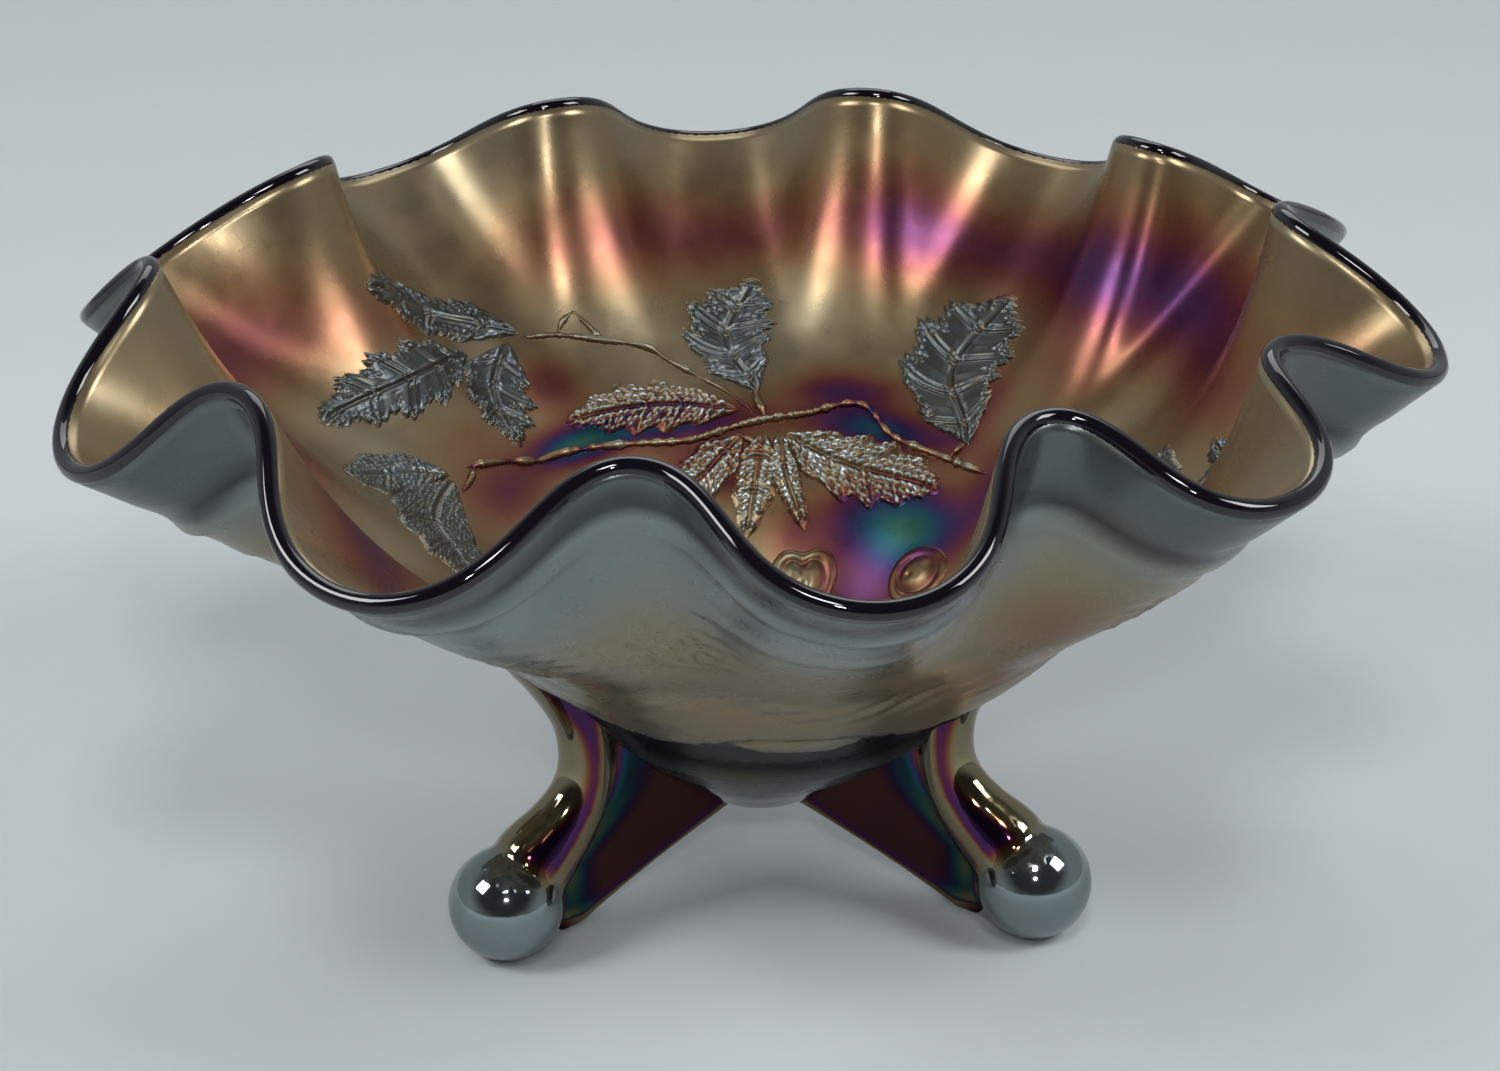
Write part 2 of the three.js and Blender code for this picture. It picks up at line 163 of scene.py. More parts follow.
def add_node(tree: bpy.types.NodeTree, kind: str, **values: float) -> bpy.types.Node:
    """Adds a shader node and sets its inputs.

    Args:
        tree: the tree that it goes into.
        kind: the node's type, without its first words.
        values: a value for each named input, with an underscore for a space.

    Returns:
        The node.
    """
    node = tree.nodes.new(f"ShaderNode{kind}")
    for name, value in values.items():
        node.inputs[name.replace("_", " ")].default_value = value
    return node


def roll_sheet(name: str, round_steps: int, rows: int,
               place: Callable[[Array, Array], Array]) -> bpy.types.Object:
    """Rolls a flat sheet into a tube whose ends run together, and welds its seam and its ends.

    Args:
        name: the piece's name.
        round_steps: faces round the tube.
        rows: faces along it.
        place: gives the points in metres for shares along (0 to 1) and turns in radians.

    Returns:
        The rolled piece.
    """
    bpy.ops.mesh.primitive_grid_add(x_subdivisions=round_steps, y_subdivisions=rows, size=1)
    piece = name_new_piece(name)
    flat = points_of(piece) + 0.5
    turn = 2 * np.pi * (np.rint(flat[:, 0] * round_steps) % round_steps) / round_steps
    set_points(piece, place(flat[:, 1], turn))
    weld(piece)
    return piece


def smooth_through(stops: Array, share: Array) -> Array:
    """Follows a smooth curve through stops.

    Args:
        stops: one row for each stop.
        share: how far along the curve, 0 to 1.

    Returns:
        One row for each share.
    """
    last = len(stops) - 1
    place = np.clip(share, 0, 1) * last
    start = np.minimum(place.astype(int), last - 1)
    t = (place - start)[:, None]
    padded = np.vstack([2 * stops[0] - stops[1], stops, 2 * stops[-1] - stops[-2]])
    before, here, there, after = (padded[start + k] for k in range(4))
    return here + 0.5 * t * (there - before + t * (
        2 * before - 5 * here + 4 * there - after + t * (3 * (here - there) + after - before)))


def ease(value: Array, low: float, high: float) -> Array:
    """Rises smoothly from 0 at low to 1 at high."""
    t = np.clip((value - low) / (high - low), 0, 1)
    return t * t * (3 - 2 * t)


def bump(value: Array, middle: float, spread: float) -> Array:
    """A smooth hump of height 1 at the middle."""
    return np.exp(-(((value - middle) / spread) ** 2))


def turn_from(bearing: Array, middle: float) -> Array:
    """Returns the degrees from a middle bearing, between -180 and 180."""
    return (bearing - middle + 180) % 360 - 180


def scatter(column: Array, row: Array) -> Array:
    """A repeatable chance between 0 and 1 for each pair of whole numbers."""
    mixed = np.sin(column * 12.9898 + row * 78.233) * 43758.5453
    return mixed - np.floor(mixed)


def dome(distance_squared: Array, reach: float) -> Array:
    """The height of a half bead of height 1 above its flat foot."""
    return np.sqrt(np.clip(1 - distance_squared / reach ** 2, 0, 1))


# ---- The mould and the crimping tool -------------------------------------------------------


@dataclass
class Mould:
    """The pressed bowl's wall, as [radius, height] of its middle, and what crimping did to it.

    Each crimp is a departure from the regular ruffle at a lobe or at the fold after it, as
    (outwards mm, upwards mm, round degrees).
    """

    rim_radius: float = 107.0
    rim_slope: float = 1.45
    profile: tuple = ((0, 23.6), (15, 25.6), (30, 36), (45, 51.3), (60, 64.6), (76, 77), (92, 92.6),
                      (107, 112.4))
    wall_at_centre: float = 5.4
    wall_at_rim: float = 3.2
    ruffles: int = 10
    first_trough: float = -6.0
    ruffle_out: float = 10.8
    ruffle_up: float = 7.6
    fold_point: float = 0.5
    side_turn: tuple = (1.4, 0.9)
    crimp_reach: float = 5.0
    turn_reach: float = 1.5
    axis: tuple = (1.7, 1.2)
    belly_shift: float = 3.6
    step: float = 0.4
    crimps: tuple = (
        (-1, 0, -3), (0.5, -1, -1.5), (3, -1.5, -1.5), (9, 2, -0.5), (2, -2.5, -0.5), (5, 1.5, 0),
        (0, -0.5, -2), (-2, 0.5, 1.5), (-1.5, 1, 1.5), (0.5, 0, 1.5), (-4, 1, 2), (1.5, -0.5, 1.5),
        (0.5, -2, 1.5), (0, -2, 1), (1.5, -0.5, -5), (-4.5, 1.5, 0), (-2.5, 1.5, 0.5),
        (-1, -1.5, 1), (-0.5, 3.5, 0), (-4.5, 0, -3.5),
    )

    def height(self, radius: Array) -> Array:
        """Follows the plain wall's profile smoothly, level at the axis.

        Args:
            radius: plain radii.

        Returns:
            The height of the wall's middle at each.
        """
        stops = np.array(self.profile, float)
        across, up = stops[:, 0], stops[:, 1]
        slope = np.zeros(len(stops))
        slope[1:-1] = (up[2:] - up[:-2]) / (across[2:] - across[:-2])
        slope[-1] = self.rim_slope
        start = np.clip(np.searchsorted(across, radius, side="right") - 1, 0, len(stops) - 2)
        width = across[start + 1] - across[start]
        t = (radius - across[start]) / width
        return ((2 * t ** 3 - 3 * t ** 2 + 1) * up[start] + (t ** 3 - 2 * t ** 2 + t) * width * slope[start]
                + (3 * t ** 2 - 2 * t ** 3) * up[start + 1] + (t ** 3 - t ** 2) * width * slope[start + 1])

    def crimp(self, bearing: Array) -> tuple[Array, Array, Array]:
        """What crimping does to the rim.

        Args:
            bearing: degrees about the axis.

        Returns:
            Millimetres out, millimetres up and degrees round.
        """
        phase = ((bearing - self.first_trough) / (360 / self.ruffles)) % self.ruffles
        stops = np.array(self.crimps, float)
        stop = np.floor(2 * phase).astype(int) % len(stops)
        t = 2 * phase - np.floor(2 * phase)
        t = (t * t * (3 - 2 * t))[..., None]
        hand = stops[stop] * (1 - t) + stops[(stop + 1) % len(stops)] * t
        turn = 2 * np.pi * phase
        out = self.ruffle_out * np.cos(turn) + hand[..., 0]
        up = -self.ruffle_up * np.cos(turn) - self.fold_point * np.cos(2 * turn) + hand[..., 1]
        round_ = self.side_turn[0] * np.sin(turn) + self.side_turn[1] * np.sin(2 * turn) + hand[..., 2]
        return out, up, round_

    def middle(self, radius: Array, bearing: Array) -> Array:
        """Carries the plain wall's middle over to the crimped one.

        Args:
            radius: plain radii.
            bearing: plain bearings.

        Returns:
            Crimped points, in millimetres.
        """
        radius = np.maximum(radius, 0)
        reach = radius / self.rim_radius
        out, up, round_ = self.crimp(bearing)
        distance = radius + out * reach ** self.crimp_reach
        angle = np.radians(bearing + round_ * reach ** self.turn_reach)
        lean = self.belly_shift * np.sin(np.pi * np.minimum(reach, 1)) ** 2
        return np.stack([self.axis[0] + lean - distance * np.sin(angle),
                         self.axis[1] - distance * np.cos(angle),
                         self.height(radius) + up * reach ** self.crimp_reach], -1)

    def normal(self, radius: Array, bearing: Array) -> Array:
        """Works out the way off the wall.

        Args:
            radius: plain radii.
            bearing: plain bearings.

        Returns:
            Unit vectors towards the inside of the bowl.
        """
        radius = np.maximum(radius, 2 * self.step)
        out = self.middle(radius + self.step, bearing) - self.middle(radius - self.step, bearing)
        turn = np.degrees(self.step / radius)
        round_ = self.middle(radius, bearing + turn) - self.middle(radius, bearing - turn)
        normal = np.cross(out, round_)
        normal /= np.linalg.norm(normal, axis=-1, keepdims=True)
        return np.where(normal[..., 2:] < 0, -normal, normal)

    def half_wall(self, radius: Array) -> Array:
        """Returns half the wall's thickness."""
        share = radius / self.rim_radius
        return (self.wall_at_centre * (1 - share) + self.wall_at_rim * share) / 2

    def at(self, radius: Array, bearing: Array, away: Array) -> Array:
        """Places points off the middle of the wall.

        Args:
            radius: plain radius.
            bearing: plain bearing.
            away: millimetres towards the inside.

        Returns:
            Points in metres.
        """
        return (self.middle(radius, bearing) + self.normal(radius, bearing) * away[..., None]) * MM

    def plain(self, points: Array) -> tuple[Array, Array]:
        """Finds the plain place under points that are well inside the crimp.

        Args:
            points: points in metres.

        Returns:
            Plain radii and bearings.
        """
        radius = np.full(len(points), 40.0)
        for _ in range(4):
            lean = self.belly_shift * np.sin(np.pi * np.clip(radius / self.rim_radius, 0, 1)) ** 2
            x = points[:, 0] / MM - self.axis[0] - lean
            y = points[:, 1] / MM - self.axis[1]
            radius = np.hypot(x, y)
        return radius, np.degrees(np.arctan2(-x, -y)) % 360


# ---- The lustre's thickness ----------------------------------------------------------------


@dataclass(frozen=True)
class Pool:
    """A place where the lustre ran thicker: its middle, its spreads and how much thicker."""

    radius: float
    bearing: float
    tall: float
    wide: float
    depth: float

    def thickness(self, radius: Array, bearing: Array) -> Array:
        """Returns what the pool adds at each place."""
        turn = turn_from(bearing, self.bearing)
        return self.depth * np.exp(-((radius - self.radius) / self.tall) ** 2 - (turn / self.wide) ** 2)


@dataclass
class Lustre:
    """How thick the sprayed metal film is, from 0, silver, through gold and purple to 1."""

    inside_base: float = 0.245
    outside_base: float = 0.085
    outside_gold: float = 0.17
    outside_ring: float = 0.1
    pools: tuple = (
        Pool(95, 104, 8, 14, 0.22), Pool(88, 122, 6, 10, 0.1), Pool(91, 160, 8, 16, 0.17),
        Pool(93, 178, 6, 12, 0.16), Pool(92, 197, 9, 9, 0.24), Pool(93, 212, 7, 12, 0.2),
        Pool(91, 226, 10, 10, 0.2), Pool(93, 240, 9, 12, 0.25), Pool(85, 258, 9, 16, 0.2),
        Pool(76, 232, 8, 10, 0.14), Pool(58, 118, 6, 14, 0.24), Pool(60, 140, 3.2, 10, 0.42),
        Pool(60.5, 160, 3, 16, 0.42), Pool(64.5, 192, 4, 12, 0.3), Pool(58.5, 200, 3, 14, 0.42),
        Pool(66, 216, 9, 6, 0.22), Pool(45, 215, 6.5, 17, 0.5), Pool(45, 198, 6, 9, 0.12),
        Pool(71, 142, 6, 6, 0.22), Pool(52, 166, 5, 14, 0.3), Pool(56, 232, 8, 9, 0.3),
        Pool(30, 210, 10, 28, 0.3), Pool(68, 120, 4, 12, 0.08), Pool(42, 184, 4, 8, 0.16),
    )
    turns: tuple = (0, 180)

    def inside(self, radius: Array, bearing: Array) -> Array:
        """Adds up the pools on the inner face.

        Args:
            radius: plain radii.
            bearing: plain bearings.

        Returns:
            The film's thickness at each.
        """
        total = np.full(radius.shape, self.inside_base)
        for turn in self.turns:
            for pool in self.pools:
                total += pool.thickness(radius, bearing - turn)
        return total

    def outside(self, radius: Array, bearing: Array) -> Array:
        """Lays silver on the outer face, with gold round its lower part.

        Args:
            radius: plain radii.
            bearing: plain bearings.

        Returns:
            The film's thickness at each.
        """
        drift = 0.05 * np.sin(np.radians(3 * bearing + 2.2 * radius)) + 0.04 * np.sin(np.radians(7 * bearing))
        gold = self.outside_gold * ease(radius, 99, 78) * ease(radius, 34, 56)
        ring = self.outside_ring * bump(radius, 37, 5)
        return self.outside_base + gold + drift * ease(radius, 104, 88) + ring


# ---- Finishes ------------------------------------------------------------------------------


# Interference colours by film thickness; the near-white first stop serves the relief's raised tops, where it
# paints a highlight.
LUSTRE_COLOURS = (
    (0.00, "d2d6da"), (0.035, "78868c"), (0.11, "80857f"), (0.20, "868069"), (0.30, "85704f"),
    (0.39, "7f533c"), (0.47, "683034"), (0.54, "532650"), (0.61, "2e2555"), (0.68, "1e4560"),
    (0.75, "1f5f5a"), (0.83, "4a6a4c"), (0.91, "86774a"), (1.00, "86505a"),
)
# Near-black that the shade darkens towards: the rim's dark glass, and painted shade on the webs, below the
# petals and on the relief.
DARK_GLASS_AND_SHADE = (0.004, 0.003, 0.005, 1)
NOISE_SPREAD = (0.3, 0.7)


def linear(colour: str) -> tuple[float, float, float, float]:
    """Turns a colour written as on a screen into the shader's linear values."""
    shares = [int(colour[i:i + 2], 16) / 255 for i in (0, 2, 4)]
    return (*[s / 12.92 if s <= 0.04045 else ((s + 0.055) / 1.055) ** 2.4 for s in shares], 1.0)


def film_group() -> bpy.types.NodeTree:
    """Builds the node group that turns a film thickness into its interference colour.

    Returns:
        A group with Thickness, Drift, Grain and Shade in, and Colour, Haze and Ripple out.
    """
    tree = bpy.data.node_groups.new("lustre film", "ShaderNodeTree")
    for name, value in (("Thickness", 0.3), ("Drift", 0.05), ("Grain", 0.03), ("Shade", 0.0)):
        socket = tree.interface.new_socket(name, in_out="INPUT", socket_type="NodeSocketFloat")
        socket.default_value = value
    for name, kind in (("Colour", "Color"), ("Haze", "Float"), ("Ripple", "Float")):
        tree.interface.new_socket(name, in_out="OUTPUT", socket_type=f"NodeSocket{kind}")
    join = tree.links.new
    ins, outs = tree.nodes.new("NodeGroupInput"), tree.nodes.new("NodeGroupOutput")
    where = add_node(tree, "TexCoord")

    def noise(scale: float, detail: float) -> bpy.types.NodeSocket:
        """Adds a noise texture on the piece's own coordinates, and returns its output."""
        node = add_node(tree, "TexNoise", Scale=scale, Detail=detail)
        join(where.outputs["Object"], node.inputs["Vector"])
        return node.outputs["Fac"]

    def work_out(operation: str, first: bpy.types.NodeSocket,
                 second: bpy.types.NodeSocket | float) -> bpy.types.NodeSocket:
        """Adds a sum.

        Args:
            operation: the sum's name.
            first: the socket that it starts from.
            second: a socket or a number.

        Returns:
            The sum's output.
        """
        node = add_node(tree, "Math")
        node.operation = operation
        join(first, node.inputs[0])
        if isinstance(second, float):
            node.inputs[1].default_value = second
        else:
            join(second, node.inputs[1])
        return node.outputs[0]

    drift, grain, haze = noise(38, 3), noise(420, 2), noise(120, 4)
    slow = work_out("MULTIPLY", work_out("SUBTRACT", drift, 0.5), ins.outputs["Drift"])
    fast = work_out("MULTIPLY", work_out("SUBTRACT", grain, 0.5), ins.outputs["Grain"])
    thickness = work_out("ADD", work_out("ADD", ins.outputs["Thickness"], slow), fast)
    ramp = add_node(tree, "ValToRGB")
    ramp.color_ramp.interpolation = "B_SPLINE"
    stops = ramp.color_ramp.elements
    while len(stops) < len(LUSTRE_COLOURS):
        stops.new(0.5)
    for stop, (place, colour) in zip(stops, LUSTRE_COLOURS):
        stop.position = place
        stop.color = linear(colour)
    join(thickness, ramp.inputs["Fac"])
    # Darkens the colour by the Shade input towards near-black, in many places as painted shade.
    dark = add_node(tree, "Mix")
    dark.data_type = "RGBA"
    dark.inputs["B"].default_value = DARK_GLASS_AND_SHADE
    join(ins.outputs["Shade"], dark.inputs["Factor"])
    join(ramp.outputs["Color"], dark.inputs["A"])
    join(dark.outputs["Result"], outs.inputs["Colour"])
    join(haze, outs.inputs["Haze"])
    join(work_out("ADD", grain, haze), outs.inputs["Ripple"])
    return tree


@dataclass(frozen=True)
class Finish:
    """One skin of the glass: its shader's values, and how uneven its film is.

    The haze is how far its roughness wanders, and the ripple is the strength of its fine bumps.
    """

    name: str
    metal: float
    roughness: float
    haze: float
    drift: float
    grain: float
    ripple: float
    ripple_height: float = 0.1

    def make(self, film: bpy.types.NodeTree) -> bpy.types.Material:
        """Builds the material.

        Args:
            film: the group that film_group made.

        Returns:
            The node material.
        """
        material = bpy.data.materials.new(self.name)
        material.use_nodes = True
        tree = material.node_tree
        join = tree.links.new
        shader = tree.nodes["Principled BSDF"]
        shader.inputs["Metallic"].default_value = self.metal
        shader.inputs["IOR"].default_value = GLASS_IOR
        lustre = add_node(tree, "Group")
        lustre.node_tree = film
        lustre.inputs["Drift"].default_value = self.drift
        lustre.inputs["Grain"].default_value = self.grain
        for attribute, socket in (("film", "Thickness"), ("shade", "Shade")):
            source = add_node(tree, "Attribute")
            source.attribute_name = attribute
            join(source.outputs["Fac"], lustre.inputs[socket])
        join(lustre.outputs["Colour"], shader.inputs["Base Color"])
        spread = add_node(tree, "MapRange", From_Min=NOISE_SPREAD[0], From_Max=NOISE_SPREAD[1],
                          To_Min=self.roughness - self.haze, To_Max=self.roughness + self.haze)
        join(lustre.outputs["Haze"], spread.inputs["Value"])
        join(spread.outputs["Result"], shader.inputs["Roughness"])
        bumps = add_node(tree, "Bump", Strength=self.ripple, Distance=self.ripple_height * MM)
        join(lustre.outputs["Ripple"], bumps.inputs["Height"])
        join(bumps.outputs["Normal"], shader.inputs["Normal"])
        return material


SATIN_INSIDE = Finish(
    "satin lustre", metal=0.74, roughness=0.29, haze=0.05, drift=0.1, grain=0.02, ripple=0.15)
BRIGHT_OUTSIDE = Finish(
    "bright lustre", metal=0.88, roughness=0.09, haze=0.03, drift=0.1, grain=0.03, ripple=0.15)
BRIGHT_FEET = Finish(
    "foot lustre", metal=0.92, roughness=0.07, haze=0.025, drift=0.07, grain=0.02, ripple=0.12)
BARE_RIM = Finish(
    "bare dark glass", metal=0.0, roughness=0.05, haze=0.015, drift=0.02, grain=0.01, ripple=0.05)
RELIEF_SILVER = Finish(
    "relief lustre", metal=0.84, roughness=0.36, haze=0.04, drift=0.12, grain=0.3, ripple=0.1)


# ---- Sub-assemblies ------------------------------------------------------------------------


@dataclass
class Dresser:
    """Gives pieces their finish and ties them to the frame."""

    film: bpy.types.NodeTree
    made: dict = field(default_factory=dict)

    def dress(self, piece: bpy.types.Object, finishes: list[Finish], nodes: list[str]) -> None:
        """Finishes a piece, smooths it and makes it stand for its CAD nodes.

        Args:
            piece: the piece, in its place.
            finishes: its materials, in the order of its faces' material numbers.
            nodes: the CAD nodes that it stands for.
        """
        piece.data.materials.clear()
        for finish in finishes:
            if finish.name not in self.made:
                self.made[finish.name] = finish.make(self.film)
            piece.data.materials.append(self.made[finish.name])
        hold(piece)
        bpy.ops.object.shade_smooth()
        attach(piece, BODY)
        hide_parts(*nodes)
        log.info("%s: %d faces", piece.name, len(piece.data.polygons))


@dataclass
class BowlWall:
    """The bowl's wall, spun as a flat gather and pressed to its form.

    The heights of the outer face's pattern are how far each part stands off the plain wall.
    """

    mould: Mould
    lustre: Lustre
    rings: int = 92
    steps: int = 500
    ridge_radius: float = 95.5
    ridge_rise: float = 5.5
    ridge_bearing: float = 12.0
    ridge_height: float = 0.85
    ridge_width: float = 0.8
    crease_radius: float = 91
    crease_height: float = 0.5
    pattern_edge: float = 43.0
    petal_rise: float = 4.5
    petal_height: float = 1.3
    lens_reach: tuple = (2.6, 14.0)
    lens_height: float = 0.7
    scroll_radius: float = 58.5
    scroll_height: float = 0.35
    lump_height: float = 0.75
    cove: tuple = (31.0, 41.5)
    cove_depth: float = 1.9
    smooth_edge: tuple = (106, 103)
    band_shade: float = 0.52
    cove_shade: float = 0.97

    def gather(self) -> bpy.types.Object:
        """Spins a flat disc of radius 1, one unit thick, out of half its outline.

        Returns:
            The disc, in fine rings, with one vertex at the middle of each face.
        """
        bpy.ops.mesh.primitive_plane_add(size=1)
        piece = name_new_piece("bowl_wall")
        corners = points_of(piece)
        set_points(piece, np.stack([corners[:, 0] + 0.5, 0 * corners[:, 0], corners[:, 1]], 1))
        edit_only(piece)
        bpy.ops.mesh.delete(type="ONLY_FACE")
        close_edit()
        edit_only(piece, points_of(piece)[:, 0] < 0.01)
        bpy.ops.mesh.delete(type="EDGE")
        close_edit()
        for side in (0.5, -0.5):
            edit_only(piece, np.isclose(points_of(piece)[:, 2], side))
            bpy.ops.mesh.subdivide(number_cuts=self.rings - 1)
            close_edit()
        edit_only(piece)
        bpy.ops.mesh.spin(steps=self.steps, angle=2 * math.pi, center=(0, 0, 0), axis=(0, 0, 1))
        close_edit()
        weld(piece, 1e-5)
        return piece

    def off_web(self, bearing: Array) -> Array:
        """Returns the degrees to the nearest web."""
        return np.min([np.abs(turn_from(bearing, web)) for _, web in FEET], axis=0)

    def outer_relief(self, radius: Array, bearing: Array) -> Array:
        """Adds up the pattern of the outer face.

        Args:
            radius: plain radii.
            bearing: plain bearings.

        Returns:
            How far the pattern stands out at each, in millimetres.
        """
        crest = radius - self.ridge_at(bearing)
        ridge = bump(crest, 0, self.ridge_width) - 0.45 * bump(crest, 3, 1.7)
        crease = bump(radius, self.crease_radius + 0.12 * ((bearing + 180) % 72 - 36), 0.7) * ease(
            np.cos(np.radians(5 * bearing)), 0.2, 0.7)
        petals = self.petal_edge(bearing)
        pattern = self.petal_height * ease(radius, petals - 0.6, petals + 0.6) * ease(radius, 66, 50)
        pattern = np.maximum(pattern, self.lens_height * self.lens(radius, bearing))
        return (self.ridge_height * ridge + self.crease_height * crease + pattern
                + self.scroll_height * self.scrolls(radius, bearing)
                + self.lump_height * self.lumps(radius, bearing)
                - self.cove_depth * self.hollow(radius, bearing))

    def scrolls(self, radius: Array, bearing: Array) -> Array:
        """Returns the fine scrolls at the height where the feet leave the wall, -1 to 1."""
        return bump(radius, self.scroll_radius, 3.5) * (
            np.sin(0.9 * radius + 0.21 * bearing) * np.sin(np.radians(26 * bearing) + 0.5 * radius))

    def lumps(self, radius: Array, bearing: Array) -> Array:
        """Returns the rough fields under the shoulder, 0 to 1."""
        ground = ease(radius, 74, 79) * ease(radius, 93, 88) * ease(
            np.cos(np.radians(5 * bearing - 90)), 0.0, 0.7)
        return ground * np.abs(np.sin(1.7 * radius + 0.25 * bearing)
                               * np.sin(np.radians(60 * bearing) + 0.7 * radius)) ** 0.7

    def hollow(self, radius: Array, bearing: Array) -> Array:
        """Returns 1 in the cove between two webs, and 0 off it."""
        low, high = self.cove
        ring = ease(radius, low - 0.9, low + 0.5) * ease(radius, high + 0.6, high - 3)
        return ring * ease(self.off_web(bearing), 8, 13)

    def ridge_at(self, bearing: Array) -> Array:
        """Returns the radius of the mould's shoulder, which is nearest the rim at the front."""
        turn = turn_from(bearing, self.ridge_bearing)
        return self.ridge_radius + self.ridge_rise * bump(turn, 0, 35) + 0.6 * np.sin(np.radians(4 * bearing))

    def from_middle(self, bearing: Array) -> Array:
        """Returns the degrees to the middle of the nearest gap between webs."""
        turns = [(bearing - web + (180 + HALF_GAP)) % 360 - 180 for _, web in FEET]
        nearest = np.argmin(np.abs(turns), axis=0)
        return np.choose(nearest, turns)

    def petal_edge(self, bearing: Array) -> Array:
        """Returns the radius where the two wide petals of each gap begin."""
        away = np.abs(self.from_middle(bearing))
        return self.pattern_edge + self.petal_rise * np.abs(np.cos(np.radians(90 * away / 26))) ** 1.5

    def lens(self, radius: Array, bearing: Array) -> Array:
        """Returns 1 on the lens between two petals, and 0 off it."""
        tall, wide = self.lens_reach
        reach = np.hypot(self.from_middle(bearing) / wide, (radius - self.pattern_edge - 0.6) / tall)
        return ease(reach, 1.1, 0.8)

    def shade(self, radius: Array, bearing: Array) -> Array:
        """Works out how dark the outer face is painted, with painted shade and highlights round the ridge and
        coves.

        Args:
            radius: plain radii.
            bearing: plain bearings.

        Returns:
            How dark each place is painted, 0 to 1.
        """
        edge = self.petal_edge(bearing)
        petals = np.maximum(ease(radius, edge - 0.5, edge + 0.8), self.lens(radius, bearing))
        # Painted highlight along the cove's lower lip.
        lip = bump(radius, self.cove[0] - 1.2, 0.6)
        # Painted shade below the petals, over the coves; a little lighter below 30 mm as a painted
        # reflection.
        under = self.cove_shade * (1 - petals) - 0.6 * lip - 0.3 * ease(radius, 30, 27)
        crest = radius - self.ridge_at(bearing)
        # Darker in a band above the shoulder, with painted shade in the hollow over the ridge and a painted
        # highlight on its crest.
        band = self.band_shade * ease(crest, 0.5, 2.5) + 0.3 * bump(crest, 2.4, 1.3) - 0.1 * bump(crest, 0, 1)
        return np.clip(np.maximum(band, under), 0, 1)

    def make(self, dresser: Dresser) -> None:
        """Presses, crimps and dresses the wall.

        Args:
            dresser: ties the piece to the frame.
        """
        piece = self.gather()
        flat = points_of(piece)
        radius = np.hypot(flat[:, 0], flat[:, 1]) * self.mould.rim_radius
        bearing = np.degrees(np.arctan2(-flat[:, 0], -flat[:, 1])) % 360
        inner = flat[:, 2] > 0
        half = self.mould.half_wall(radius)
        pattern = self.outer_relief(radius, bearing) * ease(radius, *self.smooth_edge)
        set_points(piece, self.mould.at(radius, bearing, np.where(inner, half, -half - pattern)))
        weld(piece)
        lay_film(piece, np.where(inner, self.lustre.inside(radius, bearing),
                                 self.lustre.outside(radius, bearing)),
                 np.where(inner, 0.0, self.shade(radius, bearing)))
        slots = np.array([0 if inner[list(face.vertices)].all() else 1 for face in piece.data.polygons])
        piece.data.polygons.foreach_set("material_index", slots.astype(np.int32))
        dresser.dress(piece, [SATIN_INSIDE, BRIGHT_OUTSIDE], ["bowl_shell"])


@dataclass
class RimBead:
    """The rolled, fire-polished rim."""

    mould: Mould
    radius: float = 1.62
    steps: int = 720
    sides: int = 20
    slope_step: float = 0.2
    film: float = 0.62
    shade: float = 0.985

    def make(self, dresser: Dresser) -> None:
        """Rolls the bead along the crimped rim and dresses it.

        Args:
            dresser: ties the piece to the frame.
        """
        middle = self.mould.middle

        def place(share: Array, turn: Array) -> Array:
            """Puts the bead's skin round the rim's line.

            Args:
                share: how far along the sheet, 0 to 1.
                turn: radians round it.

            Returns:
                Points in metres.
            """
            rim = np.full(share.shape, self.mould.rim_radius)
            bearing = (360 * np.rint(share * self.steps) / self.steps) % 360
            centre = middle(rim, bearing)
            along = middle(rim, bearing + self.slope_step) - middle(rim, bearing - self.slope_step)
            along /= np.linalg.norm(along, axis=1, keepdims=True)
            across = centre - middle(rim - self.radius, bearing)
            across -= along * np.sum(across * along, axis=1, keepdims=True)
            across /= np.linalg.norm(across, axis=1, keepdims=True)
            over = np.cross(along, across)
            skin = across * np.cos(turn)[:, None] + over * np.sin(turn)[:, None]
            return (centre + skin * self.radius) * MM

        piece = roll_sheet("rim_roll", self.sides, self.steps, place)
        low, high = np.array(cad_box[0]), np.array(cad_box[1])
        set_points(piece, np.clip(points_of(piece), low, high))
        lay_film(piece, self.film, self.shade)
        dresser.dress(piece, [BARE_RIM], ["rim_bead"])


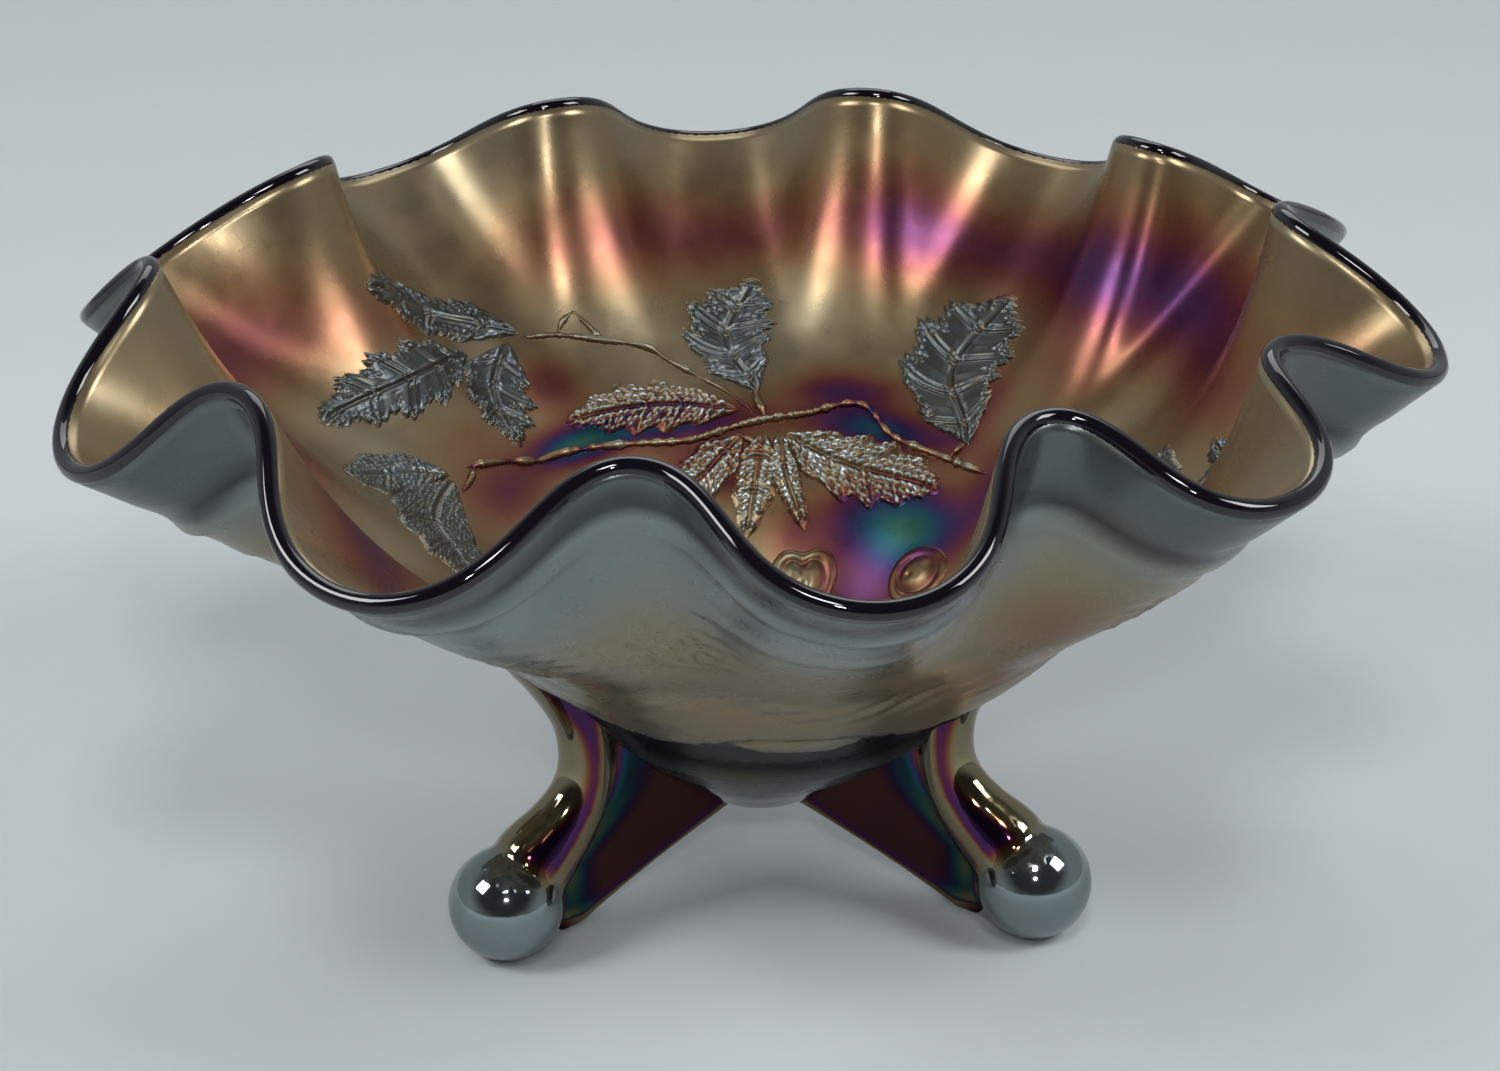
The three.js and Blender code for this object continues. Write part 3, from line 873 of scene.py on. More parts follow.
@dataclass
class Foot:
    """One foot: a curved horn that ends on a ball, and the web behind it, cast as one.

    Shapes are in the foot's own plane, x outwards from the axis, y across and z up. A horn section
    is (distance, height, half depth, half width).
    """

    mould: Mould
    side: str
    bearing: float
    ball_radius: float = 10.2
    ball_centre: tuple = (53.5, 10.05)
    sections: tuple = (
        (46, 67, 11, 10.5), (43.4, 60, 10, 9.6), (40.6, 53, 8, 8), (38.4, 46.5, 6.3, 6.4),
        (37, 41, 5.2, 5.5), (36.5, 35.5, 4.8, 5.1), (36.9, 30.5, 4.9, 5), (38.8, 25.7, 5.6, 5.2),
        (42.4, 21.2, 6.6, 5.8), (46.8, 17.4, 7.6, 6.8), (50.3, 14.2, 7.9, 7.4),
    )
    web_thickness: float = 3.6
    web_bow: tuple = ((4, 17.6), (26, 9.4), (39.3, 1.9))
    web_back: tuple = ((43.8, 1.4), (47, 14), (37, 30), (38, 46), (4, 34))
    web_steps: int = 14
    heel: tuple = (43.6, 1.6)
    heel_size: float = 2.6
    grain: float = 0.5
    fairing: int = 26
    fairing_share: float = 0.6
    film: float = 0.23
    ball_film: float = 0.042
    heel_film: float = 0.3
    web_shade: float = 0.8
    sole_shade: float = 0.15
    heel_shade: float = 0.9

    def horn(self) -> bpy.types.Object:
        """Rolls the horn.

        Returns:
            The horn in the foot's own plane, with both ends drawn to a point.
        """
        stops = np.array(self.sections, float)

        def place(share: Array, turn: Array) -> Array:
            """Puts the horn's skin round its curved line.

            Args:
                share: how far along the sheet, 0 to 1.
                turn: radians round it.

            Returns:
                Points in metres.
            """
            at = smooth_through(stops, share)
            slope = smooth_through(stops, share + 0.01) - smooth_through(stops, share - 0.01)
            length = np.hypot(slope[:, 0], slope[:, 1])
            tangent = np.stack([slope[:, 0] / length, slope[:, 1] / length], 1)
            cap = np.sqrt(np.clip(1 - (2 * np.clip(np.abs(share - 0.5) - 0.44, 0, 0.06) / 0.12) ** 2, 0, 1))
            deep, wide = at[:, 2] * cap * np.cos(turn), at[:, 3] * cap * np.sin(turn)
            return np.stack([at[:, 0] - tangent[:, 1] * deep, wide, at[:, 1] + tangent[:, 0] * deep], 1) * MM

        return roll_sheet(f"horn_{self.side}", 40, 60, place)

    def bow(self, share: Array) -> Array:
        """Returns [distance, height] along the web's lower edge, from the boss to the heel."""
        start, pull, end = (np.array(stop, float) for stop in self.web_bow)
        t = share[:, None]
        return start * (1 - t) ** 2 + 2 * pull * t * (1 - t) + end * t ** 2

    def web(self) -> bpy.types.Object:
        """Cuts the web's outline as a flat plate and gives it its thickness.

        Returns:
            The plate in the foot's own plane.
        """
        outline = np.vstack([self.bow(np.linspace(0, 1, self.web_steps)), np.array(self.web_back, float)])
        bpy.ops.mesh.primitive_circle_add(vertices=len(outline), radius=1, fill_type="NGON")
        piece = name_new_piece(f"web_plate_{self.side}")
        half = np.full(len(outline), self.web_thickness / 2)
        set_points(piece, np.stack([outline[:, 0], half, outline[:, 1]], 1) * MM)
        edit_only(piece)
        bpy.ops.mesh.extrude_region_move(
            TRANSFORM_OT_translate={"value": (0, -self.web_thickness * MM, 0)})
        close_edit()
        weld(piece)
        return piece

    def film_thickness(self, local: Array) -> tuple[Array, Array]:
        """Gathers the lustre in fringes along the horn's flanks, and paints the web dark.

        Args:
            local: points in the foot's own plane, in millimetres.

        Returns:
            The film's thickness, and how dark each place is painted: the web partly dark glass, partly
            painted shade.
        """
        out, across, up = local.T
        stops = np.array(self.sections, float)[::-1]
        inward = np.interp(up, stops[:, 1], stops[:, 0]) - out
        ball = ease(np.hypot(out - self.ball_centre[0], up - self.ball_centre[1]), 12.0, 9.6)
        ball = ball * ease(out - up, 28, 38)
        near, far = self.web_bow[0][0], self.web_bow[-1][0]
        lift = up - self.bow(np.clip((out - near) / (far - near), 0, 1))[:, 1]
        behind = ease(inward, 4, 7)
        sole = ease(lift, 2.6, 1.7) * (1 - ball) * behind
        rim = ease(lift, 5.0, 2.6) * (1 - sole) * behind
        patch = bump(inward, 8.5, 3.0) * bump(up, 15, 8)
        fringe = (0.46 * ease(inward, 3.4, 7.6) * ease(up, 47, 36) - 0.26 * ease(inward, 9, 16)
                  + 0.22 * patch + 0.16 * rim)
        edge = 0.34 * ease(np.abs(across), 3.6, 5.2) * ease(inward, 1.2, -0.8)
        film = (self.film + (fringe + edge) * (1 - sole)) * (1 - ball) + self.ball_film * ball
        # The web is painted dark: partly its thinner lustre over dark glass, partly painted shade under the
        # bowl.
        web = self.web_shade * ease(inward, 6.4, 8.6) * (1 - 0.45 * patch) * (1 - ball) * (1 - sole)
        heel = bump(np.hypot(out - self.heel[0], up - self.heel[1]), 0, self.heel_size)
        shade = np.maximum(web + self.sole_shade * sole - 0.4 * rim, self.heel_shade * heel)
        return film + self.heel_film * heel, np.clip(shade, 0, 1)

    def make(self, dresser: Dresser) -> None:
        """Casts horn, web and ball as one piece, fairs it, places it and dresses it.

        Args:
            dresser: ties the piece to the frame.
        """
        horn, web = self.horn(), self.web()
        out, up = self.ball_centre
        bpy.ops.mesh.primitive_uv_sphere_add(
            segments=72, ring_count=40, radius=self.ball_radius * MM, location=(out * MM, 0, up * MM))
        ball = name_new_piece(f"ball_{self.side}")
        hold(horn)
        web.select_set(True)
        ball.select_set(True)
        bpy.ops.object.join()
        piece = name_new_piece(f"foot_{self.side}")
        piece.data.remesh_voxel_size = self.grain * MM
        bpy.ops.object.voxel_remesh()
        bpy.ops.object.modifier_add(type="SMOOTH")
        piece.modifiers[-1].factor = self.fairing_share
        piece.modifiers[-1].iterations = self.fairing
        bpy.ops.object.modifier_apply(modifier=piece.modifiers[-1].name)
        local = points_of(piece)
        turn = -math.pi / 2 - math.radians(self.bearing)
        x = local[:, 0] * math.cos(turn) - local[:, 1] * math.sin(turn) + self.mould.axis[0] * MM
        y = local[:, 0] * math.sin(turn) + local[:, 1] * math.cos(turn) + self.mould.axis[1] * MM
        points = np.stack([x, y, local[:, 2]], 1)
        radius, _ = self.mould.plain(points)
        points[:, 2] = np.clip(points[:, 2], 0, self.mould.height(radius) * MM)
        set_points(piece, points)
        lay_film(piece, *self.film_thickness(local / MM))
        nodes = [f"leg_{self.side}", f"web_{self.side}", f"ball_foot_{self.side}"]
        dresser.dress(piece, [BRIGHT_FEET], nodes)


@dataclass
class Hub:
    """The rounded boss under the middle of the bowl, where the webs meet."""

    mould: Mould
    profile: tuple = ((0, 16.8), (6.5, 16.9), (9.5, 17.6), (12, 19), (16, 22), (21, 25.8), (26, 30.4),
                      (26, 31.5), (14, 25.5), (0, 24))
    steps: int = 160
    rows: int = 72
    film: float = 0.12
    shade: float = 0.6

    def make(self, dresser: Dresser) -> None:
        """Turns the boss and dresses it.

        Args:
            dresser: ties the piece to the frame.
        """
        stops = np.array(self.profile, float)

        def place(share: Array, turn: Array) -> Array:
            """Puts the boss's skin round the axis.

            Args:
                share: how far along the sheet, 0 to 1.
                turn: radians round it.

            Returns:
                Points in metres.
            """
            at = smooth_through(stops, share)
            distance = np.where((share < 1e-6) | (share > 1 - 1e-6), 0, at[:, 0])
            x = self.mould.axis[0] + distance * np.cos(turn)
            y = self.mould.axis[1] + distance * np.sin(turn)
            return np.stack([x, y, at[:, 1]], 1) * MM

        piece = roll_sheet("under_boss", self.steps, self.rows, place)
        lay_film(piece, self.film, self.shade)
        dresser.dress(piece, [BRIGHT_FEET], ["foot_hub"])


# ---- Relief on the inside ------------------------------------------------------------------


# Stand heights over which the relief's tops thin to silver and take a painted highlight, and over which its
# foot blends into the wall.
SILVER_AND_GLEAM_HEIGHTS = (0.45, 1.0)
FOOT_HEIGHTS = (0.3, 0.0)


@dataclass(frozen=True)
class Tooling:
    """How strongly a cut's veins stand, its beads, how much of the wall's lustre it keeps, and its painted
    highlight.

    The beads have a pitch, a height and a reach in from the leaf's edge. The kept share is how much
    of the wall's film stays; the gleam thins the tops' film and paints a highlight on them.
    """

    ribbing: float
    bead_pitch: float
    bead_reach: float
    bead_height: float
    kept: float
    silver_and_gleam: float


class Cut(Enum):
    """How the mould maker cut a leaf."""

    BEADED = Tooling(0.8, 1.45, 99, 0.72, 0.75, 1.0)
    VEINED = Tooling(1.0, 1.25, 2.6, 0.36, 0.1, 0.3)
    STIPPLED = Tooling(0.5, 0.95, 99, 0.3, 0.3, 0.4)


@dataclass
class Line:
    """A smooth line on a flat patch, in millimetres."""

    stops: Array
    samples: int = 90

    def __post_init__(self) -> None:
        """Works out the points along the line."""
        self.points = smooth_through(self.stops, np.linspace(0, 1, self.samples))
        steps = np.diff(self.points, axis=0)
        self.lengths = np.concatenate([[0], np.cumsum(np.hypot(steps[:, 0], steps[:, 1]))])
        self.length = float(self.lengths[-1])
        self.tangents = np.gradient(self.points, axis=0)
        self.tangents /= np.linalg.norm(self.tangents, axis=1, keepdims=True)

    def measure(self, x: Array, y: Array) -> tuple[Array, Array]:
        """Measures points against the line.

        Args:
            x: millimetres round the bowl.
            y: millimetres up the wall.

        Returns:
            Millimetres along the line, and to its side.
        """
        dx = x[:, None] - self.points[:, 0]
        dy = y[:, None] - self.points[:, 1]
        nearest = np.argmin(dx * dx + dy * dy, axis=1)
        here = np.arange(len(x))
        ahead = dx[here, nearest] * self.tangents[nearest, 0] + dy[here, nearest] * self.tangents[nearest, 1]
        side = dy[here, nearest] * self.tangents[nearest, 0] - dx[here, nearest] * self.tangents[nearest, 1]
        along = self.lengths[nearest] + ahead
        over = np.maximum(np.maximum(-along, along - self.length), 0)
        return np.clip(along, 0, self.length), np.sign(side + 1e-9) * np.hypot(side, over)


@dataclass
class Patch:
    """A flat patch on the inner wall, centred on a plain radius and bearing."""

    mould: Mould
    radius: float
    bearing: float
    slant: float = 1.38
    root: float = 0.35
    sunk: float = 0.4

    def flat(self, stops: list) -> Array:
        """Returns plain [radius, bearing] stops as patch millimetres."""
        radius, bearing = np.array(stops, float).T
        return np.stack([(bearing - self.bearing) * math.radians(self.radius),
                         (radius - self.radius) * self.slant], 1)

    def plain(self, x: Array, y: Array) -> tuple[Array, Array]:
        """Returns the plain radius and bearing of patch points."""
        return self.radius + y / self.slant, self.bearing + x / math.radians(self.radius)

    def press(self, name: str, low: Array, high: Array, pitch: float, heights: Heights) -> bpy.types.Object:
        """Presses a piece of relief on the patch.

        Args:
            name: the piece's name.
            low: the patch's lowest corner.
            high: its highest corner.
            pitch: the mesh's fineness.
            heights: how high the relief stands at each point, negative where there is none.

        Returns:
            The piece, its foot sunk in the wall.
        """
        span = high - low
        cells = np.maximum(np.ceil(span / pitch).astype(int), 4)
        bpy.ops.mesh.primitive_grid_add(x_subdivisions=int(cells[0]), y_subdivisions=int(cells[1]), size=1)
        piece = name_new_piece(name)
        flat = points_of(piece)
        flat[:, :2] = low + (flat[:, :2] + 0.5) * span
        set_points(piece, flat)
        edit_only(piece, heights(flat[:, 0], flat[:, 1]) < 0.05 - self.root)
        bpy.ops.mesh.delete(type="VERT")
        bpy.ops.mesh.select_all(action="SELECT")
        bpy.ops.mesh.delete_loose(use_verts=True, use_edges=True, use_faces=False)
        bpy.ops.mesh.select_all(action="SELECT")
        bpy.ops.mesh.extrude_region_move(TRANSFORM_OT_translate={"value": (0, 0, -1)})
        close_edit()
        flat = points_of(piece)
        top = flat[:, 2] > -0.5
        stand = np.where(top, np.maximum(heights(flat[:, 0], flat[:, 1]), -self.root),
                         -self.root - self.sunk)
        radius, bearing = self.plain(flat[:, 0], flat[:, 1])
        store(piece, "stand", stand)
        set_points(piece, self.mould.at(radius, bearing, self.mould.half_wall(radius) + stand))
        weld(piece, 1e-8)
        return piece


@dataclass
class Leaf:
    """A pressed leaf: its midrib from base to tip, its width, lobes and cut."""

    base: tuple
    middle: tuple
    tip: tuple
    width: float
    cut: Cut = Cut.VEINED
    veins: float = 5
    lobing: float = 0.34
    sweep: float = 0.65
    thickness: float = 0.5
    pitch: float = 0.24

    def heights(self, line: Line) -> Heights:
        """Works out the leaf's relief along a midrib.

        Args:
            line: the midrib.

        Returns:
            The function that gives the relief's height at each point of the patch.
        """

        def height(x: Array, y: Array) -> Array:
            """Stands the leaf's plate, ribs and beads off the wall.

            Args:
                x: millimetres round the bowl.
                y: millimetres up the wall.

            Returns:
                The relief's height at each point, in millimetres.
            """
            along, side = line.measure(x, y)
            away = np.abs(side)
            start = np.clip((along - self.sweep * away) / line.length, 0, 1)
            vein = start * self.veins + 0.35
            between = 0.5 - 0.5 * np.cos(2 * np.pi * vein)
            form = np.sin(np.pi * start ** 0.8) ** 0.7
            teeth = 0.06 * np.cos(8 * np.pi * vein) if self.cut is Cut.VEINED else 0
            edge = 0.56 * self.width * form * (1 - self.lobing * between + teeth) - away
            rise = ease(edge, -0.35, 0.8)
            plate = self.thickness * rise
            pillow = 0.16 * np.abs(np.sin(2 * np.pi * vein)) * ease(edge, 0.2, 1.8) * ease(away, 0.4, 1.6)
            gap = (vein - np.rint(vein)) * line.length / self.veins
            groove = 0.3 * bump(gap, 0, 0.4) - 0.35 * bump(np.abs(gap), 0.75, 0.35)
            groove = -groove * ease(edge, 0.6, 1.6) * min(1, self.veins - 1)
            rib = 0.3 * bump(away, 0, 0.35) - 0.3 * bump(away, 0.85, 0.4)
            total = plate + (pillow - groove - rib * rise) * self.cut.value.ribbing
            return np.where(edge > -0.35, total + self.beads(along, away, edge), -1.0)

        return height

    def beads(self, along: Array, away: Array, edge: Array) -> Array:
        """Sets beads or stipple in slanting rows on the leaf's plate.

        Args:
            along: millimetres along the midrib.
            away: millimetres off it.
            edge: millimetres in from the leaf's edge.

        Returns:
            The height of the beads at each point.
        """
        tooling = self.cut.value
        pitch = tooling.bead_pitch
        slanted = along - self.sweep * away
        row = np.floor((away - 0.5) / (0.9 * pitch))
        shifted = slanted + 0.5 * pitch * (row % 2)
        number = np.floor(shifted / pitch)
        luck = scatter(number, row)
        stray = 0.45 * pitch * (scatter(row, number + 7) - 0.5)
        squared = ((away - 0.5 - (row + 0.5) * 0.9 * pitch - stray) ** 2
                   + (shifted - (number + 0.5) * pitch + stray) ** 2)
        bead = dome(squared, 0.38 * pitch) * tooling.bead_height * (0.45 + 0.55 * luck)
        present = (row >= 0) & (edge < tooling.bead_reach) & (luck > 0.2)
        return np.where(present, bead * ease(edge, 0, 0.5), 0)

    def make(self, name: str, mould: Mould, lustre: Lustre, turn: float, dresser: Dresser) -> None:
        """Presses the leaf and dresses it.

        Args:
            name: the piece's name.
            mould: the wall that it stands on.
            lustre: the film on the wall.
            turn: degrees round from its own place.
            dresser: ties the piece to the frame.
        """
        patch = Patch(mould, self.middle[0], self.middle[1] + turn)
        stops = [(r, b + turn) for r, b in (self.base, self.middle, self.tip)]
        line = Line(patch.flat(stops))
        reach = 0.65 * self.width + 1
        low, high = line.points.min(0) - reach, line.points.max(0) + reach
        piece = patch.press(name, low, high, self.pitch, self.heights(line))
        dress_relief(piece, mould, lustre, dresser, self.cut.value.kept, self.cut.value.silver_and_gleam)


def dress_relief(piece: bpy.types.Object, mould: Mould, lustre: Lustre, dresser: Dresser, kept: float,
                 silver_and_gleam: float) -> None:
    """Gives relief the wall's film at its foot, with painted shade low and a painted highlight on top.

    Args:
        piece: the relief.
        mould: the wall that it stands on.
        lustre: the film on the wall.
        dresser: ties the piece to the frame.
        kept: how much of the wall's film stays on it.
        silver_and_gleam: how far its highest places thin to silver film and take a painted highlight.
    """
    wall_film = lustre.inside(*mould.plain(points_of(piece)))
    stand = np.empty(len(wall_film), np.float32)
    piece.data.attributes["stand"].data.foreach_get("value", stand)
    # Raised tops: the film thins to silver there, and they are painted lighter as a painted highlight.
    raised = ease(stand, *SILVER_AND_GLEAM_HEIGHTS) * silver_and_gleam
    foot = ease(stand, *FOOT_HEIGHTS)
    film = (wall_film * kept + 0.06) * (1 - 0.9 * raised)
    # Darker over the plate and ground, partly their own dull tone and partly painted shade; the tops get a
    # painted highlight, and the foot lightens to meet the wall.
    shade = np.clip(0.74 - 0.35 * kept - 0.65 * raised - 0.4 * foot, 0, 1)
    lay_film(piece, film + foot * (wall_film - film), shade)
    dresser.dress(piece, [RELIEF_SILVER], [piece.name.removeprefix("pressed_")])


@dataclass
class Twig:
    """A pressed twig with its side shoots, all as plain [radius, bearing] stops."""

    routes: tuple
    radius: float = 0.95
    beaded: tuple = (0.0, 0.0)
    samples: int = 240
    margin: float = 1.6
    pitch: float = 0.3
    kept: float = 0.9
    silver_and_gleam: float = 0.55

    def heights(self, lines: list[Line]) -> Heights:
        """Works out the twig's relief, knotted and tapering, with beads along a part of it.

        Args:
            lines: the twig and its side shoots.

        Returns:
            The function that gives the relief's height at each point of the patch.
        """

        def height(x: Array, y: Array) -> Array:
            """Takes the highest of the twig's ridges.

            Args:
                x: millimetres round the bowl.
                y: millimetres up the wall.

            Returns:
                The relief's height at each point, in millimetres.
            """
            total = np.full(x.shape, -1.0)
            for number, line in enumerate(lines):
                along, side = line.measure(x, y)
                knots = 1 + 0.13 * np.sin(1.3 * along + 2 * np.sin(0.45 * along)) + 0.1 * np.sin(0.61 * along)
                knots = knots + 0.35 * bump((along + 3) % 11, 5.5, 0.9)
                taper = 0.5 + 0.5 * ease(np.minimum(along, line.length - along), 0, 3)
                size = self.radius * knots * taper * (1 if number == 0 else 0.8)
                ridge = 1.15 * size * dome((side / size) ** 2, 1.0) - 0.15
                ridge = np.where(np.abs(side) < size * 1.02, ridge, -1.0)
                low, high = (share * line.length for share in self.beaded)
                on = (along > low) & (along < high) & (number == 0)
                place = (along % 1.5) - 0.75
                ridge = ridge + np.where(on, 0.4 * dome(place ** 2 + side ** 2, 0.62), 0)
                total = np.maximum(total, ridge)
            return total

        return height

    def make(self, name: str, mould: Mould, lustre: Lustre, turn: float, dresser: Dresser) -> None:
        """Presses the twig and dresses it.

        Args:
            name: the piece's name.
            mould: the wall that it stands on.
            lustre: the film on the wall.
            turn: degrees round from its own place.
            dresser: ties the piece to the frame.
        """
        stops = np.array(self.routes[0], float)
        centre = (stops.min(0) + stops.max(0)) / 2
        patch = Patch(mould, centre[0], centre[1] + turn)
        lines = [Line(patch.flat([(r, b + turn) for r, b in route]), self.samples)
                 for route in self.routes]
        low = np.min([line.points.min(0) for line in lines], axis=0) - self.margin
        high = np.max([line.points.max(0) for line in lines], axis=0) + self.margin
        piece = patch.press(name, low, high, self.pitch, self.heights(lines))
        dress_relief(piece, mould, lustre, dresser, self.kept, self.silver_and_gleam)


@dataclass
class Fruit:
    """A pressed fruit: a dished disc with a rolled edge, a cleft and a pit."""

    centre: tuple
    radius: float
    cleft: float
    cleft_turn: float
    pit: tuple
    pitch: float = 0.3
    kept: float = 0.8
    silver_and_gleam: float = 0.3

    def make(self, name: str, mould: Mould, lustre: Lustre, turn: float, dresser: Dresser) -> None:
        """Presses the fruit and dresses it.

        Args:
            name: the piece's name.
            mould: the wall that it stands on.
            lustre: the film on the wall.
            turn: degrees round from its own place.
            dresser: ties the piece to the frame.
        """
        patch = Patch(mould, self.centre[0], self.centre[1] + turn)

        def height(x: Array, y: Array) -> Array:
            """Stands the rolled edge, the dish and the pit off the wall.

            Args:
                x: millimetres round the bowl.
                y: millimetres up the wall.

            Returns:
                The relief's height at each point, in millimetres.
            """
            away = turn_from(np.degrees(np.arctan2(y, x)), self.cleft_turn)
            reach = self.radius * (1 - self.cleft * bump(away, 0, 24) + 0.04 * np.cos(np.radians(2 * away)))
            edge = reach - np.hypot(x, y)
            roll = 1.0 * dome((edge - 1.1) ** 2, 1.3) * (0.75 + 0.25 * np.cos(np.radians(away - 40)))
            dish = 0.95 * ease(edge, 1.2, 5) + 0.3
            pit = 0.5 * bump(np.hypot(x - self.pit[0], y - self.pit[1]), 0, 0.7)
            return np.where(edge > -0.3, np.maximum(roll, dish * ease(edge, 0, 1.4) - pit) - 0.15, -1.0)

        reach = np.full(2, self.radius * 1.1 + 0.5)
        piece = patch.press(name, -reach, reach, self.pitch, height)
        dress_relief(piece, mould, lustre, dresser, self.kept, self.silver_and_gleam)


@dataclass
class Relief:
    """The fruiting sprays at the back and front, and the leaf clusters between them."""

    mould: Mould
    lustre: Lustre
    spray_turns: tuple = (("back", 0), ("front", 180))
    cluster_turns: tuple = (("left", 0), ("right", 166))
    spray: dict = field(default_factory=lambda: {
        "leaf_crown": Leaf((64.5, 176), (74.5, 173), (84, 176.5), 14, Cut.VEINED, 4.6, 0.26),
        "leaf_beaded": Leaf((61.5, 173), (63.5, 157), (64, 141), 11.5, Cut.BEADED, 5, 0.24),
        "leaf_curl": Leaf((57, 173), (52, 165), (48.5, 156), 9.5, Cut.BEADED, 3, 0.16, 0.5),
        "leaf_droop": Leaf((57.5, 176.5), (49, 174.5), (41.5, 172), 7, Cut.BEADED, 3, 0.16, 0.5),
        "leaf_sprig": Leaf((57.5, 179.5), (50, 181.5), (42.5, 187.5), 5.5, Cut.BEADED, 2, 0.1, 0.4),
        "leaf_broad": Leaf((57, 180.5), (52.5, 195), (51, 216), 14, Cut.BEADED, 5, 0.22),
        "leaf_upright": Leaf((59, 218), (70, 209), (85, 211.5), 18, Cut.VEINED, 4.6, 0.24),
        "twig": Twig((((64, 115), (60, 129), (59.5, 137), (58, 150), (57, 163), (59.5, 176.5),
                       (60.5, 186), (62.5, 195), (58, 203), (56, 215), (55.5, 227)),
                      ((63.5, 116.5), (62, 112.5), (61.5, 108.5)),
                      ((57.6, 172), (55.5, 175.5), (54, 177.5)),
                      ((59.8, 177), (63, 176), (66, 175.5)),
                      ((56, 215), (58, 216.5), (60, 217))), 0.85, (0.42, 0.66)),
        "shoot": Twig((((68, 167.5), (71, 163), (74, 159.5), (76, 154), (78.5, 147.5), (79.5, 143)),
                       ((75.5, 154), (79, 152.5), (81.5, 151.5)),
                       ((81.5, 151.5), (80.4, 149.5), (78.5, 147.5)),
                       ((68, 167.5), (65, 171.5), (61, 175))), 0.75),
        "plum": Fruit((35.5, 189), 7, 0.3, 96, (0.3, -1.2)),
        "cherry": Fruit((39, 225), 6, 0.0, 200, (-1.5, -0.5)),
    })
    cluster: dict = field(default_factory=lambda: {
        "leaf_high": Leaf((80.5, 142.5), (87, 134), (93, 121), 11, Cut.VEINED, 4, 0.26),
        "leaf_middle": Leaf((79.5, 135), (79.5, 119), (81, 105), 14, Cut.VEINED, 5, 0.28),
        "leaf_low": Leaf((79.5, 140.5), (72, 133.5), (64, 129.5), 14, Cut.VEINED, 4, 0.26),
        "leaf_pointed": Leaf((64.5, 110.5), (69, 105), (74.5, 97), 10, Cut.STIPPLED, 3, 0.16),
        "leaf_hanging": Leaf((63.5, 110), (61, 94), (55, 81), 20, Cut.STIPPLED, 4, 0.16),
    })

    def make(self, dresser: Dresser) -> None:
        """Presses every leaf, twig and fruit in its place.

        Args:
            dresser: ties the pieces to the frame.
        """
        for turns, items in ((self.spray_turns, self.spray), (self.cluster_turns, self.cluster)):
            for place, turn in turns:
                for kind, item in items.items():
                    item.make(f"pressed_{kind}_{place}", self.mould, self.lustre, turn, dresser)


# ---- The table, the lights and the camera --------------------------------------------------


@dataclass(frozen=True)
class Softbox:
    """A square light: where it hangs, its side and its aim in metres, and its watts."""

    name: str
    place: tuple
    size: float
    power: float
    aim: tuple = (0.0, 0.0, 0.06)

    def hang(self) -> None:
        """Hangs the light and turns it to its aim."""
        data = bpy.data.lights.new(self.name, "AREA")
        data.size = self.size
        data.energy = self.power
        lamp = bpy.data.objects.new(self.name, data)
        bpy.context.scene.collection.objects.link(lamp)
        way = np.array(self.aim) - np.array(self.place)
        flat = math.hypot(way[0], way[1])
        lamp.location = self.place
        lamp.rotation_euler = (math.atan2(flat, -way[2]), 0, math.atan2(way[1], way[0]) - math.pi / 2)


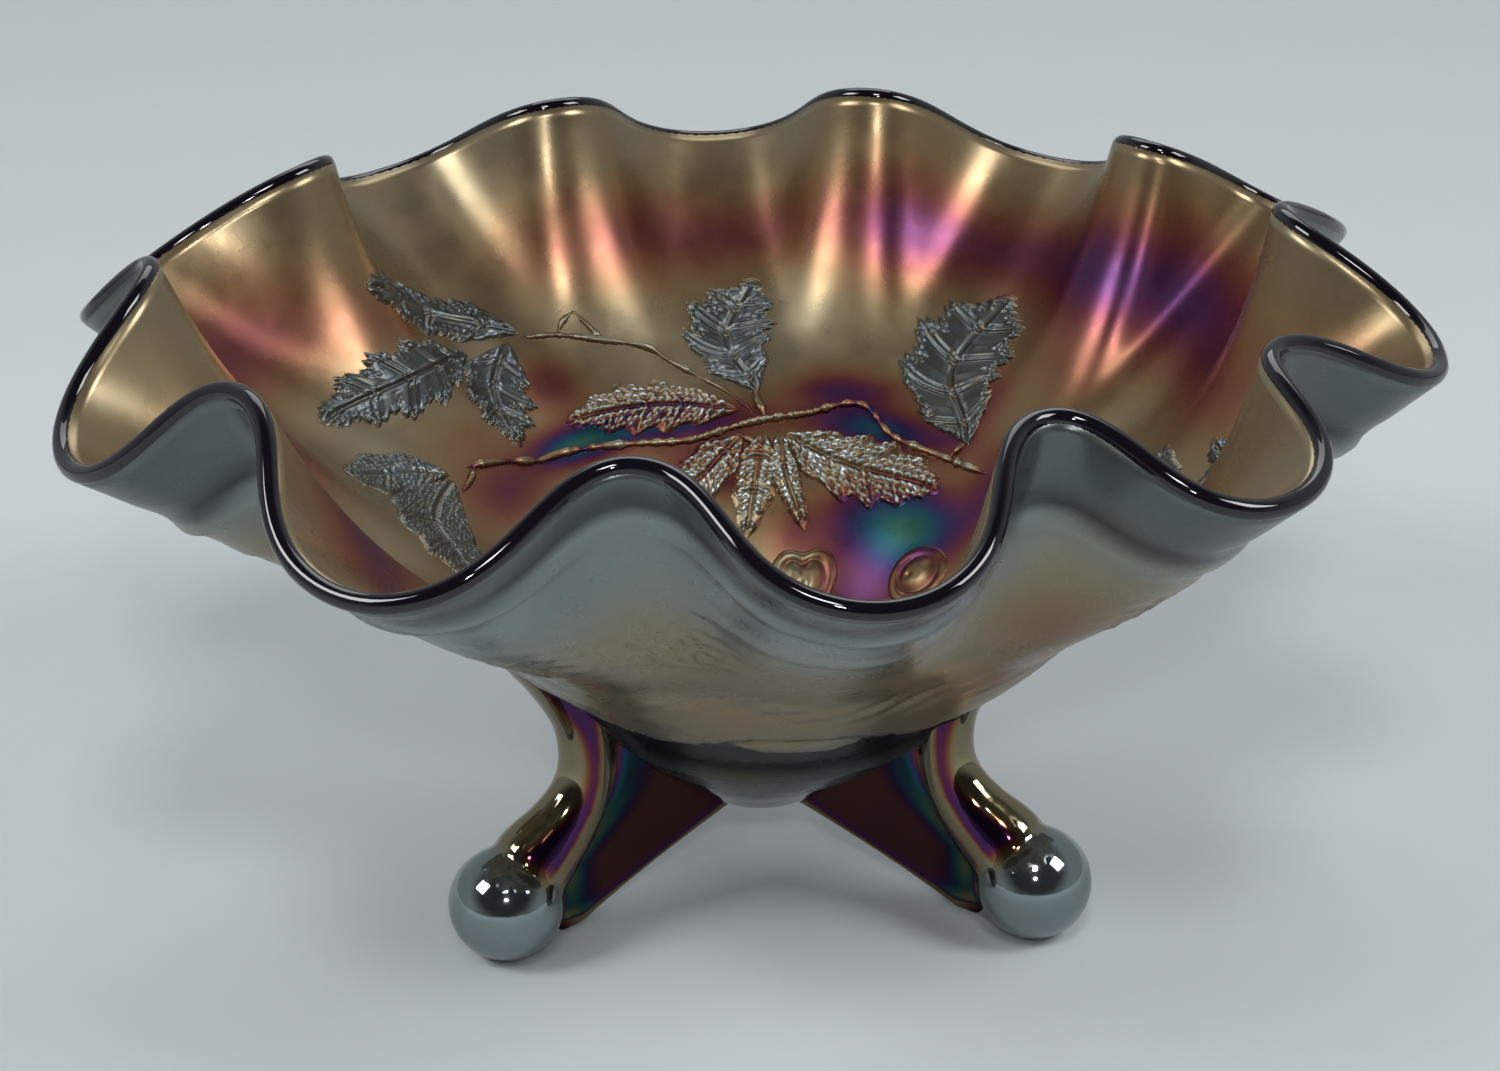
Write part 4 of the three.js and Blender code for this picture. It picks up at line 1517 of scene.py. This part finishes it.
@dataclass
class Studio:
    """A pale table, soft lights at both sides and a camera a little above the rim."""

    focal_length: float = 81.34
    sensor_width: float = 36
    camera_place: tuple = (1.7, -546.8, 301.7)
    camera_tilt: float = 23.21
    camera_roll: float = -0.872
    shift: tuple = (-0.0052, -0.0004)
    table_size: float = 8
    table_colour: tuple = (0.5, 0.54, 0.56)
    table_grain: float = 0.015
    table_roughness: float = 0.85
    sky_way: tuple = (0, -0.6, 0.8)
    sky_strength: float = 0.56
    sky_stops: tuple = ((0.3, (0.66, 0.71, 0.73, 1)), (0.66, (0.015, 0.015, 0.02, 1)))
    lights: tuple = (
        Softbox("left softbox", (-0.95, -0.4, 1.0), 0.5, 9.5),
        Softbox("right softbox", (0.95, -0.35, 1.0), 0.5, 9.5),
        Softbox("middle softbox", (0.0, -0.85, 1.15), 0.24, 5.5),
        Softbox("back fill", (0.0, 1.5, 1.7), 1.4, 15, (0, 1.3, 0)),
        Softbox("front lamp", (0.02, -0.75, 0.5), 0.05, 1.2),
    )

    def table(self) -> None:
        """Lays the floor."""
        bpy.ops.mesh.primitive_grid_add(
            x_subdivisions=8, y_subdivisions=8, size=self.table_size, location=(0, 0, 0))
        floor = name_new_piece("floor")
        material = bpy.data.materials.new("pale table")
        material.use_nodes = True
        tree = material.node_tree
        join = tree.links.new
        noise = add_node(tree, "TexNoise", Scale=90)
        ramp = add_node(tree, "ValToRGB")
        for stop, share in zip(ramp.color_ramp.elements, (1 - self.table_grain, 1 + self.table_grain)):
            stop.color = (*[c * share for c in self.table_colour], 1)
        join(add_node(tree, "TexCoord").outputs["Object"], noise.inputs["Vector"])
        join(noise.outputs["Fac"], ramp.inputs["Fac"])
        shader = tree.nodes["Principled BSDF"]
        join(ramp.outputs["Color"], shader.inputs["Base Color"])
        shader.inputs["Roughness"].default_value = self.table_roughness
        floor.data.materials.append(material)

    def sky(self) -> None:
        """Makes a pale surround that is dark behind the camera, as a room is."""
        world = bpy.data.worlds.new("studio")
        bpy.context.scene.world = world
        world.use_nodes = True
        tree = world.node_tree
        join = tree.links.new
        facing = add_node(tree, "VectorMath")
        facing.operation = "DOT_PRODUCT"
        facing.inputs[1].default_value = self.sky_way
        join(add_node(tree, "TexCoord").outputs["Generated"], facing.inputs[0])
        ramp = add_node(tree, "ValToRGB")
        for stop, (place, colour) in zip(ramp.color_ramp.elements, self.sky_stops):
            stop.position = place
            stop.color = colour
        join(facing.outputs["Value"], ramp.inputs["Fac"])
        join(ramp.outputs["Color"], tree.nodes["Background"].inputs["Color"])
        tree.nodes["Background"].inputs["Strength"].default_value = self.sky_strength

    def camera(self) -> None:
        """Sets up the camera."""
        data = bpy.data.cameras.new("camera")
        data.lens = self.focal_length
        data.sensor_width = self.sensor_width
        data.clip_start = 0.01
        data.shift_x, data.shift_y = self.shift
        camera = bpy.data.objects.new("camera", data)
        bpy.context.scene.collection.objects.link(camera)
        camera.location = [p * MM for p in self.camera_place]
        tilt, roll = math.radians(90 - self.camera_tilt), math.radians(self.camera_roll)
        camera.rotation_mode = "QUATERNION"
        camera.rotation_quaternion = Euler((tilt, 0, 0)).to_quaternion() @ Quaternion((0, 0, 1), roll)
        bpy.context.scene.camera = camera

    def make(self) -> None:
        """Sets the whole studio."""
        self.camera()
        self.table()
        self.sky()
        for softbox in self.lights:
            softbox.hang()
        bpy.context.scene.view_settings.view_transform = "Standard"


def main() -> None:
    """Makes the bowl from the wall outwards, and sets the studio round it."""
    logging.basicConfig(level=logging.INFO, format="%(message)s")
    mould, lustre = Mould(), Lustre()
    dresser = Dresser(film_group())
    Studio().make()
    BowlWall(mould, lustre).make(dresser)
    RimBead(mould).make(dresser)
    for side, bearing in FEET:
        Foot(mould, side, bearing).make(dresser)
    Hub(mould).make(dresser)
    Relief(mould, lustre).make(dresser)


if __name__ == "__main__":
    main()
